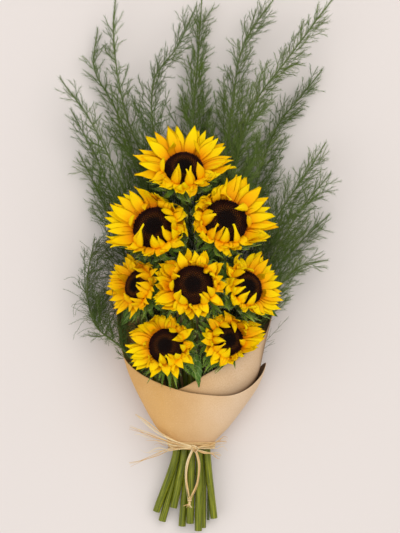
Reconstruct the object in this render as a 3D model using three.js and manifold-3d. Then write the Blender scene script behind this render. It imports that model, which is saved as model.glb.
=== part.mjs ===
// A tied bouquet of eight sunflowers and asparagus fern in a kraft paper wrap, lying on its back.
// Millimetres. +X runs across the bouquet, +Y from the cut stems to the fern tips and +Z up from
// the surface. The origin is the middle of the flat underside of the wrap.
import * as THREE from "three";
import { mergeVertices } from "three/addons/utils/BufferGeometryUtils.js";
import Module from "manifold-3d";

const wasm = await Module();
wasm.setup();

// Sunflower heads. "at" is the middle of the disc's face and "lean" is how far the face tips
// along X and Y for each unit of height. "run" lists points of the stem between the neck and the
// tie, "slot" is the stem's place in the tie, across and up from its middle, and "cut" its end.
// The petals lie open in the "fan" between two azimuths and stand up outside it. Those listed in
// "over" bend over the disc.
const HEADS = [
  { name: "top", at: [-13, 216, 88], lean: [0.02, 0.62], disc: 23, petal: 39, petals: 20,
    fan: [-15, 200], over: [250, 283, 322],
    run: [[-12, 100, 25], [-10, -40, 18]], slot: [-4.7, -4.1], cut: [-16, -215, 10] },
  { name: "left", at: [-48, 146, 94], lean: [-0.26, 0.38], disc: 26, petal: 38, petals: 19,
    fan: [70, 225], over: [238, 282, 318, 350, 35],
    run: [[-38, 50, 26], [-26, -40, 19]], slot: [-14.2, -4.1], cut: [-40, -209, 9] },
  { name: "right", at: [36, 154, 94], lean: [0.24, 0.38], disc: 27, petal: 38, petals: 20,
    fan: [-50, 95], over: [150, 196, 232, 268, 300],
    run: [[28, 50, 26], [17, -40, 18]], slot: [14.2, -4.1], cut: [9, -217, 8] },
  { name: "left_lower", at: [-67, 77, 82], lean: [-0.95, 0.3], disc: 20, petal: 27, petals: 17,
    fan: [110, 240], over: [285, 318, 348, 18, 50, 80],
    run: [[-53, -10, 35], [-36, -70, 27]], slot: [-18.8, 4.1], cut: [-47, -197, 12] },
  { name: "centre", at: [-2, 78, 113], lean: [-0.02, 0.22], disc: 24, petal: 34, petals: 20,
    fan: [135, 225], over: [240, 270, 302, 338, 20, 62],
    run: [[-3, 20, 48], [-4, -60, 33]], slot: [0, 4.1], cut: [-6, -211, 18] },
  { name: "right_lower", at: [61, 75, 92], lean: [0.62, 0.36], disc: 21, petal: 30, petals: 18,
    fan: [-50, 95], over: [125, 152, 180, 208, 236, 268],
    run: [[53, -10, 31], [34, -70, 26]], slot: [18.8, 4.1], cut: [23, -205, 13] },
  { name: "bottom_left", at: [-34, 6, 99], lean: [-0.24, 0.16], disc: 21, petal: 29, petals: 18,
    fan: [95, 225], over: [262, 295, 322, 348, 20, 55],
    run: [[-25, -60, 42]], slot: [-9.4, 4.1], cut: [-26, -192, 17] },
  { name: "bottom_right", at: [39, 13, 91], lean: [0.36, 0.1], disc: 19, petal: 30, petals: 16,
    fan: [-45, 80], over: [120, 150, 182, 212, 250],
    run: [[26, -62, 40]], slot: [9.4, 4.1], cut: [4, -220, 17] },
];
// Larger leaves on the stems just behind a head, by the head's name: azimuth in degrees, length.
const LEAVES = [
  { head: "centre", azimuth: 82, length: 56, width: 26 },
  { head: "right", azimuth: 262, length: 46, width: 22 },
  { head: "bottom_left", azimuth: 330, length: 58, width: 26 },
  { head: "left_lower", azimuth: 200, length: 50, width: 24 },
  { head: "right_lower", azimuth: 350, length: 52, width: 24 },
];
const NEIGHBOUR_REACH = 110; // heads nearer than this press on each other
const WALL_LEAN = 1.5; // how strongly the wall between two heads leans over the lower one
const HEAD_FLOOR = 57; // petals, bracts and leaves keep above this height
const PRESS_DEPTH = 14; // a petal starts to bend this far from a wall

const RING_HEIGHT = 4.6; // the ring that the petals grow from, behind the disc
const RING_INSET = 6;
const RING_OUTSET = 2;
const RING_SEGMENTS = 12;
const SEAT = 0.3; // the gap between pieces that touch
const DISC_RISE = 5.2;
const DISC_SEGMENTS = 12;
const DISC_LEVELS = [0.96, 0.74, 0.5, 0.26]; // rings of the dome, as shares of its radius
const DISC_RELIEF = 1.3; // how far every third point of a ring stands up
const DISC_DISH = 2.4; // how far the middle is sunk
const CALYX_DEPTH = 20;
const CALYX_SEGMENTS = 9;
const STEM_RADIUS = 4.5;
const STEM_SIDES = 6;
const NECK_LENGTH = 16; // from the calyx to where the stem bends over
const NECK_REACH = 32; // how far out from the head's middle the bend lies
const PETAL_WIDTH = 14;
const PETAL_SIZE = 36; // the length of a petal of full width
const PETAL_CUP = 0.24; // how far a blade's edges lift, in half widths
const PETAL_THICKNESS = 1.2;
const FAN_EDGE = 35; // degrees over which the petals outside the fan come to stand up
const OUTER_SHARE = 0.56; // of the petals, in the outer layer
const BLADE_STEPS = 10; // the places along a blade's middle line
const BLADE_LIFT = 0.12; // how far a blade rises as it bends along a wall
const BRACT_LENGTH = 25;
const BRACT_COUNT = 8;
const BRACT_ANGLES = [-14, -18, -8];
const BRACT_HALF_WIDTHS = [[0, 4.8], [5, 3.9], [10, 0]];
const LEAF_ANGLES = [-24, -14, -6];
const LEAF_MARGIN = 3.4;
const LEAF_CUP = 0.14;
const LEAF_OUTLINE = [
  [2, 0.75], [3, 0.66], [4, 1], [5, 0.8], [6, 0.86], [7, 0.6], [8, 0.56], [10, 0],
]; // half widths, toothed, by the place along the leaf
const GREEN_THICKNESS = 1.1;
const BRACT_JITTER = 0.35; // of the angle between two bracts
const BRACT_RISE = 9; // the most a bract's end is raised, in degrees
const BRACT_ROOT = [3, 4.6]; // in from the disc's rim, and below the petal ring
const BRACT_LENGTHS = [0.9, 1.2];
const BRACT_MARGIN = 2.6;
const BRACT_CUP = 0.16;

// Petals, with the outer layer's value before the inner layer's. Lengths are shares of the head's
// petal length, and angles are degrees above the plane of the disc.
const PETAL_LENGTHS = [[0.92, 1.12], [0.83, 1.01]];
const OVER_LENGTHS = [0.8, 1]; // of the petals that bend over the disc
const OUTSIDE_FAN = 0.82; // how much shorter the outer petals are outside the fan
const PETAL_JITTER = 0.3; // of the angle between two petals
const OVER_JITTER = 9;
const ROOT_ANGLES = [12, 24];
const OPEN_ANGLES = [[2, 14], [14, 30]];
const CLOSED_ANGLES = [[8, 56], [66, 108]];
const OVER_ANGLES = [[40, 60], [92, 126], [0, 26]];
const TIP_FALL = -10;
const ROOT_OUT = 0.6;
const ROOT_DEPTHS = [0.66, 0.3]; // shares of the ring's height
const PETAL_MARGINS = [2.6, 3.2];
const BEND_AT = 0.5; // share of the length by which a petal has its last angle
const OVER_BEND_AT = 0.42;
const PRESS_FROM = 0.95; // a petal longer than this share of the room ahead of it is raised
const PRESS_OVER = 0.5;

// The tie: the middle of the bundle and its size inside the paper.
const TIE_Y = -116;
const TIE_X = -4;
const TIE_Z = 20;
const STEM_TIE = [8, 10]; // how far above and below the tie the stems run straight
const FERN_TIE = 6;
const FERN_CUT_LENGTH = 12; // how far below the tie the short ends of the fern reach
const FERN_CUT_DROP = 0.9;

// Paper wrap. Each station along Y gives the middle line, half width, height of the widest line,
// rise above it, depth below it and roundness of the section. The section is cut flat at z = 0.
const WRAP_STATIONS = [
  [-121, -4, 26.4, 20, 12.6, 14.6, 0.56],
  [-112, -4, 28, 21, 15, 16.5, 0.62],
  [-94, -3, 44, 25, 26, 26.5, 0.8],
  [-60, 0, 66, 32, 41, 37, 0.95],
  [-30, 0, 80, 37, 48, 43, 1],
  [0, -1, 88, 36, 47, 42, 1],
  [40, 0, 97, 28, 40, 33, 1],
  [100, 3, 108, 19, 30, 24, 1],
];
// The sheet's upper edge: the angle round the wrap, falling from the inner end to the outer end,
// and the edge's place along Y. 90 degrees is the front, 180 the left side and -90 the underside.
const WRAP_EDGE = [
  [122, -52], [100, -43], [84, -31], [66, -18], [38, 0], [12, 22], [-2, 70], [-25, 86],
  [-90, 92], [-130, 84], [-160, 58], [-172, 30], [-183, -3], [-200, -18], [-225, -33],
  [-250, -45], [-270, -51], [-305, -54], [-330, -46], [-350, -31], [-364, -17], [-380, -20],
  [-403, -44],
];
const WRAP_COLUMNS = 35; // 15 degrees each, which the raffia band shares
const WRAP_ROWS = [0.13, 0.36, 0.66, 1]; // shares of the way from the tie to the edge
const PAPER = 0.8; // thickness of the sheet
const LAYER_GAP = 3.4; // how far the inner layer sits inside the outer one
const LAYER_GAP_AT_TIE = 1.3;
const LAYER_TURN = 190; // degrees over which the gap between the layers opens
const NECK_SPREAD = 50; // how far above the tie the gap is whole
const END_FLARE = 3; // how far the outer layer's last end stands away to the side
const FLARE_FROM = -330;
const FLARE_TURN = 40;
const FLARE_FOOT = -75;
const FLARE_RISE = 40;

// Fern fronds: slot in the tie, the cut end where it shows, the number of side branchlets, the
// longest branchlet, where along the stem they start, and the points from the tie to the tip.
const FRONDS = [
  { name: "left_low", slot: [-20, -3.4], cut: [-25.4, -132, 14], branchlets: 5, reach: 30, from: 0.5,
    line: [[-38, -76, 20], [-64, -30, 34], [-87, 2, 56], [-120, 30, 44], [-130, 80, 34], [-121, 134, 28]] },
  { name: "left_1", slot: [-14.5, -10.2], branchlets: 3, reach: 34, from: 0.62,
    line: [[-52, 20, 6], [-92, 130, 11], [-120, 196, 12], [-141, 238, 13]] },
  { name: "left_2", slot: [-11.3, -10.2], branchlets: 3, reach: 36, from: 0.6,
    line: [[-44, 20, 6], [-80, 140, 24], [-116, 224, 32], [-150, 290, 32]] },
  { name: "left_3", slot: [-8.1, -10.2], branchlets: 3, reach: 34, from: 0.66,
    line: [[-37, 20, 6], [-78, 170, 34], [-124, 272, 52], [-162, 326, 50]] },
  { name: "left_4", slot: [-4.9, -10.2], branchlets: 3, reach: 36, from: 0.58,
    line: [[-29, 20, 6], [-60, 180, 10], [-96, 290, 13], [-122, 340, 14], [-118, 388, 15]] },
  { name: "left_5", slot: [-1.6, -10.2], branchlets: 4, reach: 34, from: 0.6,
    line: [[-21, 20, 6], [-48, 190, 26], [-84, 286, 33], [-98, 372, 34], [-96, 424, 36]] },
  { name: "arched", slot: [3.6, -5.3], branchlets: 3, reach: 32, from: 0.62,
    line: [[-3, 20, 10], [-22, 140, 14], [-50, 262, 48], [-48, 326, 54], [-22, 362, 54],
      [2, 412, 56]] },
  { name: "middle", slot: [5.5, -2.5], branchlets: 3, reach: 34, from: 0.58,
    line: [[5, 20, 24], [4, 160, 22], [-2, 276, 14], [4, 360, 15], [8, 424, 16]] },
  { name: "right_1", slot: [7.9, -4.9], branchlets: 3, reach: 34, from: 0.6,
    line: [[11, 20, 19], [30, 180, 26], [46, 300, 34], [58, 366, 34], [96, 424, 36]] },
  { name: "right_2", slot: [1.5, -10.2], branchlets: 6, reach: 38, from: 0.54,
    line: [[16, 20, 6], [42, 190, 38], [70, 292, 54], [112, 350, 54], [166, 422, 56]] },
  { name: "right_3", slot: [4.6, -10.2], branchlets: 3, reach: 34, from: 0.62,
    line: [[24, 20, 6], [62, 160, 9], [100, 270, 12], [128, 306, 13], [154, 338, 14]] },
  { name: "right_4", slot: [7.7, -10.2], branchlets: 3, reach: 34, from: 0.62,
    line: [[32, 20, 6], [70, 110, 20], [112, 180, 34], [138, 218, 34], [158, 250, 35]] },
  { name: "right_5", slot: [10.8, -10.2], branchlets: 3, reach: 30, from: 0.7,
    line: [[42, 10, 6], [82, 90, 30], [124, 164, 54], [144, 190, 54], [163, 212, 56]] },
  { name: "right_6", slot: [13.8, -9.9], branchlets: 3, reach: 30, from: 0.68,
    line: [[50, 10, 8], [96, 94, 15], [126, 128, 15], [162, 162, 15]] },
  { name: "right_7", slot: [20.4, -3.8], cut: [16, -208, 5], branchlets: 3, reach: 28, from: 0.7,
    line: [[60, 10, 20], [94, 66, 37], [126, 100, 38], [160, 108, 35]] },
];
const FERN_STEM = 1.6;
const FERN_TIP = 0.6;
const BRANCHLET_RADIUS = 0.65;
const NEEDLE_LENGTH = 9;
const NEEDLE_STEP = 11.6; // between the whorls of needles
const NEEDLE_ROOT = 1.1; // length of core that a whorl takes
const NEEDLE_OUT = 0.74; // a needle's tip, out from the core and along it, in needle lengths
const NEEDLE_AHEAD = 0.66;
const WHORL_TURN = Math.PI / 3.4; // from one whorl to the next
const BARE_STEP = 54; // between the rings of a bare stem
const BARE_SHARE = 0.86; // of a frond's stem, below its needles
const LAST_BRANCHLET = 0.95; // share of the stem at which the side branchlets end
const BRANCHLET_JITTER = 0.3;
const BRANCHLET_LENGTHS = [0.85, 1.15];
const BRANCHLET_TILT = 0.16;
const BRANCHLET_BARE_SHARE = 0.1;

// Raffia.
const STRIP_STATIONS = [0, 0.33, 0.67, 1];
const STRIP_TAPER = 0.55; // the width of a strip's end as a share of its start
const BAND_WIDTH = 8;
const BAND_THICKNESS = 1.6;
const RAFFIA_THICKNESS = 1;
const KNOTS = [
  { at: [-1, TIE_Y - 2.5, 39.6], size: [6.2, 4.8, 3.4], segments: [8, 5] },
  { at: [-6.5, -182, 28], size: [2.6, 3.4, 1.8], segments: [7, 4] },
];
const RAFFIA_STRIPS = [
  { width: 4, line: [[-2, -118, 39.6], [-9, -136, 34], [-11, -160, 31], [-7, -181, 28]] },
  { width: 4, line: [[0, -118, 39.6], [5, -138, 34], [3, -160, 31], [-6, -182, 28]] },
  { width: 3.4, line: [[-1, -117, 40], [-22, -110, 42], [-44, -98, 44], [-71, -77, 40]] },
  { width: 3, line: [[-1, -117, 39.4], [-24, -113, 40], [-46, -106, 40], [-79, -94, 36]] },
  { width: 2.4, line: [[-1, -120, 39.4], [-30, -120, 37], [-50, -129, 33], [-79, -139, 28]] },
  { width: 3, line: [[0, -118, 39.8], [14, -115, 41.5], [26, -112, 38], [38, -110, 34]] },
  { width: 3, line: [[0, -120, 39], [10, -123, 38.6], [22, -125, 34], [31, -129, 31]] },
];

const radians = THREE.MathUtils.degToRad;
const clamp = THREE.MathUtils.clamp;
const lerp = THREE.MathUtils.lerp;
const vector = (point) => new THREE.Vector3(...point);

function seeded(seed) {
  let state = seed;
  return () => {
    state = (state * 1664525 + 1013904223) % 4294967296;
    return state / 4294967296;
  };
}

function smooth(value) {
  const v = clamp(value, 0, 1);
  return v * v * (3 - 2 * v);
}

// Reads a table of rows [key, value, ...] at a key, on a smooth curve through the rows.
function tableAt(table, key) {
  const rising = table[1][0] > table[0][0] ? 1 : -1;
  let row = 0;
  while (row < table.length - 2 && (key - table[row + 1][0]) * rising > 0) {
    row += 1;
  }
  const from = table[row];
  const to = table[row + 1];
  const before = table[Math.max(0, row - 1)];
  const after = table[Math.min(table.length - 1, row + 2)];
  const span = to[0] - from[0];
  const t = clamp((key - from[0]) / span, 0, 1);
  const slope = (a, b, k) => (b[0] === a[0] ? 0 : ((b[k] - a[k]) / (b[0] - a[0])) * span);
  return from.slice(1).map((value, index) => {
    const k = index + 1;
    const start = slope(before, to, k);
    const end = slope(from, after, k);
    const rise = to[k] - value;
    return value + t * start + t * t * (3 * rise - 2 * start - end) + t * t * t * (start + end - 2 * rise);
  });
}

// Joining and meshes.

function solidOf(points, triangles) {
  const flat = new Float32Array(points.flatMap((p) => [p.x, p.y, p.z]));
  const volume = triangles.reduce((sum, [a, b, c]) => {
    const cross = new THREE.Vector3().crossVectors(points[b], points[c]);
    return sum + points[a].dot(cross);
  }, 0);
  const turned = volume < 0 ? triangles.map(([a, b, c]) => [a, c, b]) : triangles;
  const triVerts = new Uint32Array(turned.flat());
  return new wasm.Manifold(new wasm.Mesh({ numProp: 3, vertProperties: flat, triVerts }));
}

function solidOfGeometry(geometry) {
  geometry.deleteAttribute("uv");
  geometry.deleteAttribute("normal");
  const merged = mergeVertices(geometry, 1e-4);
  const place = merged.getAttribute("position");
  const points = Array.from({ length: place.count }, (_, i) => {
    return new THREE.Vector3().fromBufferAttribute(place, i);
  });
  const triangles = [];
  for (let i = 0; i < merged.index.count; i += 3) {
    const corner = [0, 1, 2].map((k) => merged.index.getX(i + k));
    if (new Set(corner).size === 3) {
      triangles.push(corner);
    }
  }
  return solidOf(points, triangles);
}

// Fuses solids and keeps the main body, without loose scraps or sealed hollows.
function fused(solids) {
  const all = wasm.Manifold.union(solids).setTolerance(0.01);
  const bodies = all.decompose();
  return bodies.reduce((best, body) => (body.volume() > best.volume() ? body : best));
}

function meshOf(name, solid, material) {
  const { vertProperties, triVerts } = solid.getMesh();
  const geometry = new THREE.BufferGeometry();
  geometry.setAttribute("position", new THREE.BufferAttribute(vertProperties, 3));
  geometry.setIndex(new THREE.BufferAttribute(triVerts, 1));
  geometry.computeVertexNormals();
  const mesh = new THREE.Mesh(geometry, material);
  mesh.name = name;
  return mesh;
}

// Skins rings of points. The last item may be a single point, the tip. Quads are split alike on
// both faces of a four-cornered section.
function skin(rings) {
  const points = rings.flat();
  const size = rings[0].length;
  const triangles = [];
  for (let k = 1; k < size - 1; k += 1) {
    triangles.push([0, k + 1, k]);
  }
  let start = 0;
  for (let i = 0; i < rings.length - 1; i += 1) {
    const next = start + size;
    const tip = rings[i + 1].length === 1;
    for (let k = 0; k < size; k += 1) {
      const l = (k + 1) % size;
      if (tip) {
        triangles.push([start + k, start + l, next]);
      } else if (k % 2 === 0) {
        triangles.push([start + k, start + l, next + l], [start + k, next + l, next + k]);
      } else {
        triangles.push([start + k, start + l, next + k], [start + l, next + l, next + k]);
      }
    }
    start = next;
  }
  if (rings[rings.length - 1].length > 1) {
    for (let k = 1; k < size - 1; k += 1) {
      triangles.push([start, start + k, start + k + 1]);
    }
  }
  return solidOf(points, triangles);
}

// Points along a smooth curve, each with two directions across it that don't spin.
function framesAlong(curve, stations) {
  let across = null;
  return stations.map((t) => {
    const point = curve.getPoint(t);
    const along = curve.getTangent(t);
    const steep = Math.abs(along.z) > 0.8;
    const hint = across ?? new THREE.Vector3(steep ? 1 : 0, 0, steep ? 0 : 1);
    across = hint.clone().addScaledVector(along, -hint.dot(along)).normalize();
    return { point, along, across, beside: new THREE.Vector3().crossVectors(along, across) };
  });
}

function ringAt(frame, radius, sides, turn = 0) {
  return Array.from({ length: sides }, (_, k) => {
    const angle = turn + (k * 2 * Math.PI) / sides;
    return frame.point
      .clone()
      .addScaledVector(frame.across, radius * Math.cos(angle))
      .addScaledVector(frame.beside, radius * Math.sin(angle));
  });
}

function tube(points, radius, sides, steps) {
  const curve = new THREE.CatmullRomCurve3(points, false, "centripetal");
  const stations = Array.from({ length: steps + 1 }, (_, i) => i / steps);
  const turn = Math.PI / sides;
  return skin(framesAlong(curve, stations).map((frame) => ringAt(frame, radius, sides, turn)));
}

// Heads.

// The frame of a head and the walls round it: planes that its petals, bracts and leaves keep
// behind. Two neighbours share the plane half way between them.
function headFrame(head) {
  const origin = vector(head.at);
  const axis = new THREE.Vector3(head.lean[0], head.lean[1], 1).normalize();
  const east = new THREE.Vector3(1, 0, 0).addScaledVector(axis, -axis.x).normalize();
  const north = new THREE.Vector3().crossVectors(axis, east);
  const walls = [wallThrough([0, 0, HEAD_FLOOR], [0, 0, -1])];
  for (const other of HEADS) {
    const away = vector(other.at).sub(origin);
    if (other !== head && Math.hypot(away.x, away.y) < NEIGHBOUR_REACH) {
      const middle = origin.clone().addScaledVector(away, 0.5);
      walls.push(wallThrough(middle.toArray(), [away.x, away.y, away.z * WALL_LEAN]));
    }
  }
  if (head.name.startsWith("bottom")) {
    walls.push(wallThrough([0, -42, 90], [0, -0.62, -0.78]));
  }
  if (head.name === "bottom_right" || head.name === "right_lower") {
    walls.push(wallThrough([29, -18, 80], [0.4, -0.86, -0.3]));
  }
  return { ...head, origin, axis, east, north, walls };
}

function wallThrough(point, normal) {
  const direction = vector(normal).normalize();
  return { normal: direction, offset: direction.dot(vector(point)) };
}

// The middle line of a petal, bract or leaf. It leaves the head at an azimuth, a radius and a
// height, turns from its first to its second angle above the face within a share of its length,
// and bends along the walls.
function bladeLine(head, azimuth, root, length, angles, margin, way, turn = 0.5) {
  const radial = head.east.clone().multiplyScalar(Math.cos(azimuth));
  radial.addScaledVector(head.north, Math.sin(azimuth));
  const point = head.origin.clone().addScaledVector(radial, root[0]).addScaledVector(head.axis, root[1]);
  const across = new THREE.Vector3().crossVectors(head.axis, radial);
  const line = [];
  for (let i = 0; i <= BLADE_STEPS; i += 1) {
    const s = i / BLADE_STEPS;
    const angle = lerp(angles[0], angles[1], smooth(s / turn)) + angles[2] * s;
    const along = radial.clone().multiplyScalar(Math.cos(angle)).addScaledVector(head.axis, Math.sin(angle));
    const side = across.clone();
    for (const wall of head.walls) {
      const gap = wall.offset - wall.normal.dot(point) - margin;
      const press = smooth(1 - gap / PRESS_DEPTH);
      along.addScaledVector(wall.normal, -press * Math.max(0, wall.normal.dot(along)));
      along.addScaledVector(head.axis, BLADE_LIFT * press * way);
      side.addScaledVector(wall.normal, -press * wall.normal.dot(side));
    }
    along.normalize();
    side.addScaledVector(along, -side.dot(along)).normalize();
    line.push({ point: point.clone(), side, up: new THREE.Vector3().crossVectors(along, side) });
    point.addScaledVector(along, length / BLADE_STEPS);
  }
  return line;
}

// A closed blade: at each station of the line a shallow V of the given half width and thickness.
function blade(line, stations, cup, thickness) {
  const rings = stations.map(([at, half]) => {
    const { point, side, up } = line[at];
    if (half === 0) {
      return [point.clone()];
    }
    const lift = cup * half;
    return [
      point.clone().addScaledVector(side, -half).addScaledVector(up, lift),
      point.clone(),
      point.clone().addScaledVector(side, half).addScaledVector(up, lift),
      point.clone().addScaledVector(up, -thickness),
    ];
  });
  return skin(rings);
}

function lathe(profile, segments) {
  const points = profile.map(([r, z]) => new THREE.Vector2(r, z));
  return new THREE.LatheGeometry(points, segments).rotateX(Math.PI / 2);
}

function seated(head, geometry) {
  const basis = new THREE.Matrix4().makeBasis(head.east, head.north, head.axis);
  return solidOfGeometry(geometry.applyMatrix4(basis.setPosition(head.origin)));
}

// Distance from the root of a petal to the nearest wall, in the petal's direction.
function roomAhead(head, azimuth) {
  const radial = head.east.clone().multiplyScalar(Math.cos(azimuth));
  radial.addScaledVector(head.north, Math.sin(azimuth));
  const start = head.origin.clone().addScaledVector(radial, head.disc);
  const rooms = head.walls.map((wall) => {
    const closing = wall.normal.dot(radial);
    return closing < 0.05 ? Infinity : (wall.offset - wall.normal.dot(start)) / closing;
  });
  return Math.min(...rooms);
}

function petals(head, seed) {
  const random = seeded(seed);
  const inner = head.disc - RING_INSET;
  const outer = head.disc + RING_OUTSET;
  const top = -SEAT;
  const ring = lathe(
    [[inner, top], [inner, top - RING_HEIGHT], [outer, top - RING_HEIGHT], [outer, top], [inner, top]],
    RING_SEGMENTS,
  );
  const solids = [seated(head, ring)];
  const outerCount = Math.round(head.petals * OUTER_SHARE);
  const innerCount = head.petals - outerCount - head.over.length;
  const [low, high] = head.fan;
  for (let i = 0; i < head.petals; i += 1) {
    const draws = Array.from({ length: 6 }, random);
    const shift = draws[0] - 0.5;
    const shape = { layer: i < outerCount ? 0 : 1, over: i >= outerCount + innerCount };
    if (shape.over) {
      shape.azimuth = head.over[i - outerCount - innerCount] + OVER_JITTER * shift;
      shape.length = head.petal * lerp(...OVER_LENGTHS, draws[1]);
    } else if (shape.layer) {
      shape.azimuth = lerp(low, high, (i - outerCount + 0.5 + PETAL_JITTER * shift) / innerCount);
      shape.length = head.petal * lerp(...PETAL_LENGTHS[1], draws[1]);
    } else {
      shape.azimuth = ((i + PETAL_JITTER * shift) * 360) / outerCount;
      const inFan = THREE.MathUtils.euclideanModulo(shape.azimuth - low, 360) < high - low;
      shape.length = head.petal * lerp(...PETAL_LENGTHS[0], draws[1]) * (inFan ? 1 : OUTSIDE_FAN);
    }
    shape.half = (PETAL_WIDTH / 2) * (0.86 + 0.2 * draws[2]) * (0.35 + (0.65 * shape.length) / PETAL_SIZE);
    solids.push(petal(head, shape, draws.slice(3)));
  }
  return fused(solids);
}

// A petal of the fan lies open. One outside it, or near a wall, stands up along the head's axis.
function petal(head, shape, draws) {
  const [low, high] = head.fan;
  const middle = (low + high) / 2;
  const turned = THREE.MathUtils.euclideanModulo(shape.azimuth - middle + 180, 360) - 180;
  const beside = Math.abs(turned) - (high - low) / 2;
  const azimuth = radians(shape.azimuth);
  const room = roomAhead(head, azimuth);
  const pressed = smooth((shape.length * PRESS_FROM - room) / (shape.length * PRESS_OVER));
  const raised = Math.max(pressed, smooth(beside / FAN_EDGE));
  const opened = lerp(...OPEN_ANGLES[shape.layer], draws[0]);
  const closed = lerp(...CLOSED_ANGLES[shape.layer], draws[1]);
  const overDraws = [draws[2], draws[0], draws[1]];
  const angles = shape.over
    ? OVER_ANGLES.map((range, k) => lerp(...range, overDraws[k]))
    : [ROOT_ANGLES[shape.layer], lerp(opened, closed, raised), TIP_FALL * draws[2]];
  const root = [head.disc + ROOT_OUT, -SEAT - RING_HEIGHT * ROOT_DEPTHS[shape.layer]];
  const margin = PETAL_MARGINS[shape.layer] + draws[2];
  const turn = shape.over ? OVER_BEND_AT : BEND_AT;
  const line = bladeLine(head, azimuth, root, shape.length, angles.map(radians), margin, 1, turn);
  const stations = [[0, shape.half * 0.5], [4, shape.half], [BLADE_STEPS, 0]];
  return blade(line, stations, PETAL_CUP, PETAL_THICKNESS);
}

// The disc: a low dome of florets set on two sets of spirals, dished in the middle, with a plug
// behind it that fills the petal ring.
function disc(head) {
  const rings = [];
  const plug = (head.disc - RING_INSET) * Math.cos(Math.PI / RING_SEGMENTS) - SEAT;
  const level = (radius, height, relief, index) => {
    const ring = [];
    for (let k = 0; k < DISC_SEGMENTS; k += 1) {
      const angle = ((k + 0.5 * (index % 2)) * 2 * Math.PI) / DISC_SEGMENTS;
      const bump = relief * ((k + index) % 3 === 0 ? 1 : 0);
      ring.push(new THREE.Vector3(radius * Math.cos(angle), radius * Math.sin(angle), height + bump));
    }
    return ring;
  };
  rings.push(level(plug, -SEAT - RING_HEIGHT, 0, 0));
  rings.push(level(plug, 0, 0, 0));
  rings.push(level(head.disc, 0, 0, 0));
  DISC_LEVELS.forEach((share, index) => {
    const height = DISC_RISE * (1 - share ** 4) - DISC_DISH * (1 - share) ** 2 + 1;
    rings.push(level(head.disc * share, height, DISC_RELIEF, index));
  });
  rings.push([new THREE.Vector3(0, 0, DISC_RISE - 1.6)]);
  const basis = new THREE.Matrix4().makeBasis(head.east, head.north, head.axis).setPosition(head.origin);
  return skin(rings.map((ring) => ring.map((p) => p.applyMatrix4(basis))));
}

function calyx(head) {
  const top = -RING_HEIGHT - 2 * SEAT;
  const r = head.disc;
  const profile = [
    [0, top], [r + 0.5, top], [r + 1.6, top - 2.6], [r * 0.72, top - 10],
    [STEM_RADIUS + 2, -CALYX_DEPTH - 1], [0, -CALYX_DEPTH - 4],
  ];
  return seated(head, lathe(profile, CALYX_SEGMENTS));
}

function bracts(head, seed) {
  const random = seeded(seed);
  const solids = [];
  for (let i = 0; i < BRACT_COUNT; i += 1) {
    const azimuth = ((i + BRACT_JITTER * random()) * 2 * Math.PI) / BRACT_COUNT;
    const angles = BRACT_ANGLES.map((angle, k) => radians(k === 1 ? angle + BRACT_RISE * random() : angle));
    const root = [head.disc - BRACT_ROOT[0], -RING_HEIGHT - BRACT_ROOT[1]];
    const length = BRACT_LENGTH * lerp(...BRACT_LENGTHS, random());
    const line = bladeLine(head, azimuth, root, length, angles, BRACT_MARGIN, -1);
    solids.push(blade(line, BRACT_HALF_WIDTHS, BRACT_CUP, GREEN_THICKNESS));
  }
  return solids;
}

function leaf(head, shape) {
  const root = [STEM_RADIUS + 3, -CALYX_DEPTH + 2];
  const angles = LEAF_ANGLES.map(radians);
  const line = bladeLine(head, radians(shape.azimuth), root, shape.length, angles, LEAF_MARGIN, -0.4);
  const stations = LEAF_OUTLINE.map(([at, share]) => [at, (share * shape.width) / 2]);
  return blade(line, [[0, 2], ...stations], LEAF_CUP, GREEN_THICKNESS);
}

function tieSlot(slot, y) {
  return new THREE.Vector3(TIE_X + slot[0], y, TIE_Z + slot[1]);
}

function stemPoints(head) {
  const toward = vector(head.run[0]).sub(head.origin).setZ(0).normalize();
  const under = head.origin.clone().addScaledVector(head.axis, -CALYX_DEPTH - 1);
  const neck = head.origin.clone().addScaledVector(head.axis, -CALYX_DEPTH - NECK_LENGTH);
  neck.addScaledVector(toward, 3);
  const bend = head.origin.clone().addScaledVector(toward, NECK_REACH);
  bend.z = lerp(head.run[0][2], neck.z, 0.35);
  const run = head.run.map(vector);
  const tie = [tieSlot(head.slot, TIE_Y + STEM_TIE[0]), tieSlot(head.slot, TIE_Y - STEM_TIE[1])];
  return [under, neck, bend, ...run, ...tie, vector(head.cut)];
}

function stem(head) {
  const points = stemPoints(head);
  return tube(points, STEM_RADIUS, STEM_SIDES, Math.round(points.length * 1.3));
}

function greenery(head, seed) {
  const leaves = LEAVES.filter((shape) => shape.head === head.name);
  return fused([
    stem(head), calyx(head), ...bracts(head, seed), ...leaves.map((shape) => leaf(head, shape)),
  ]);
}

// Fern.

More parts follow.
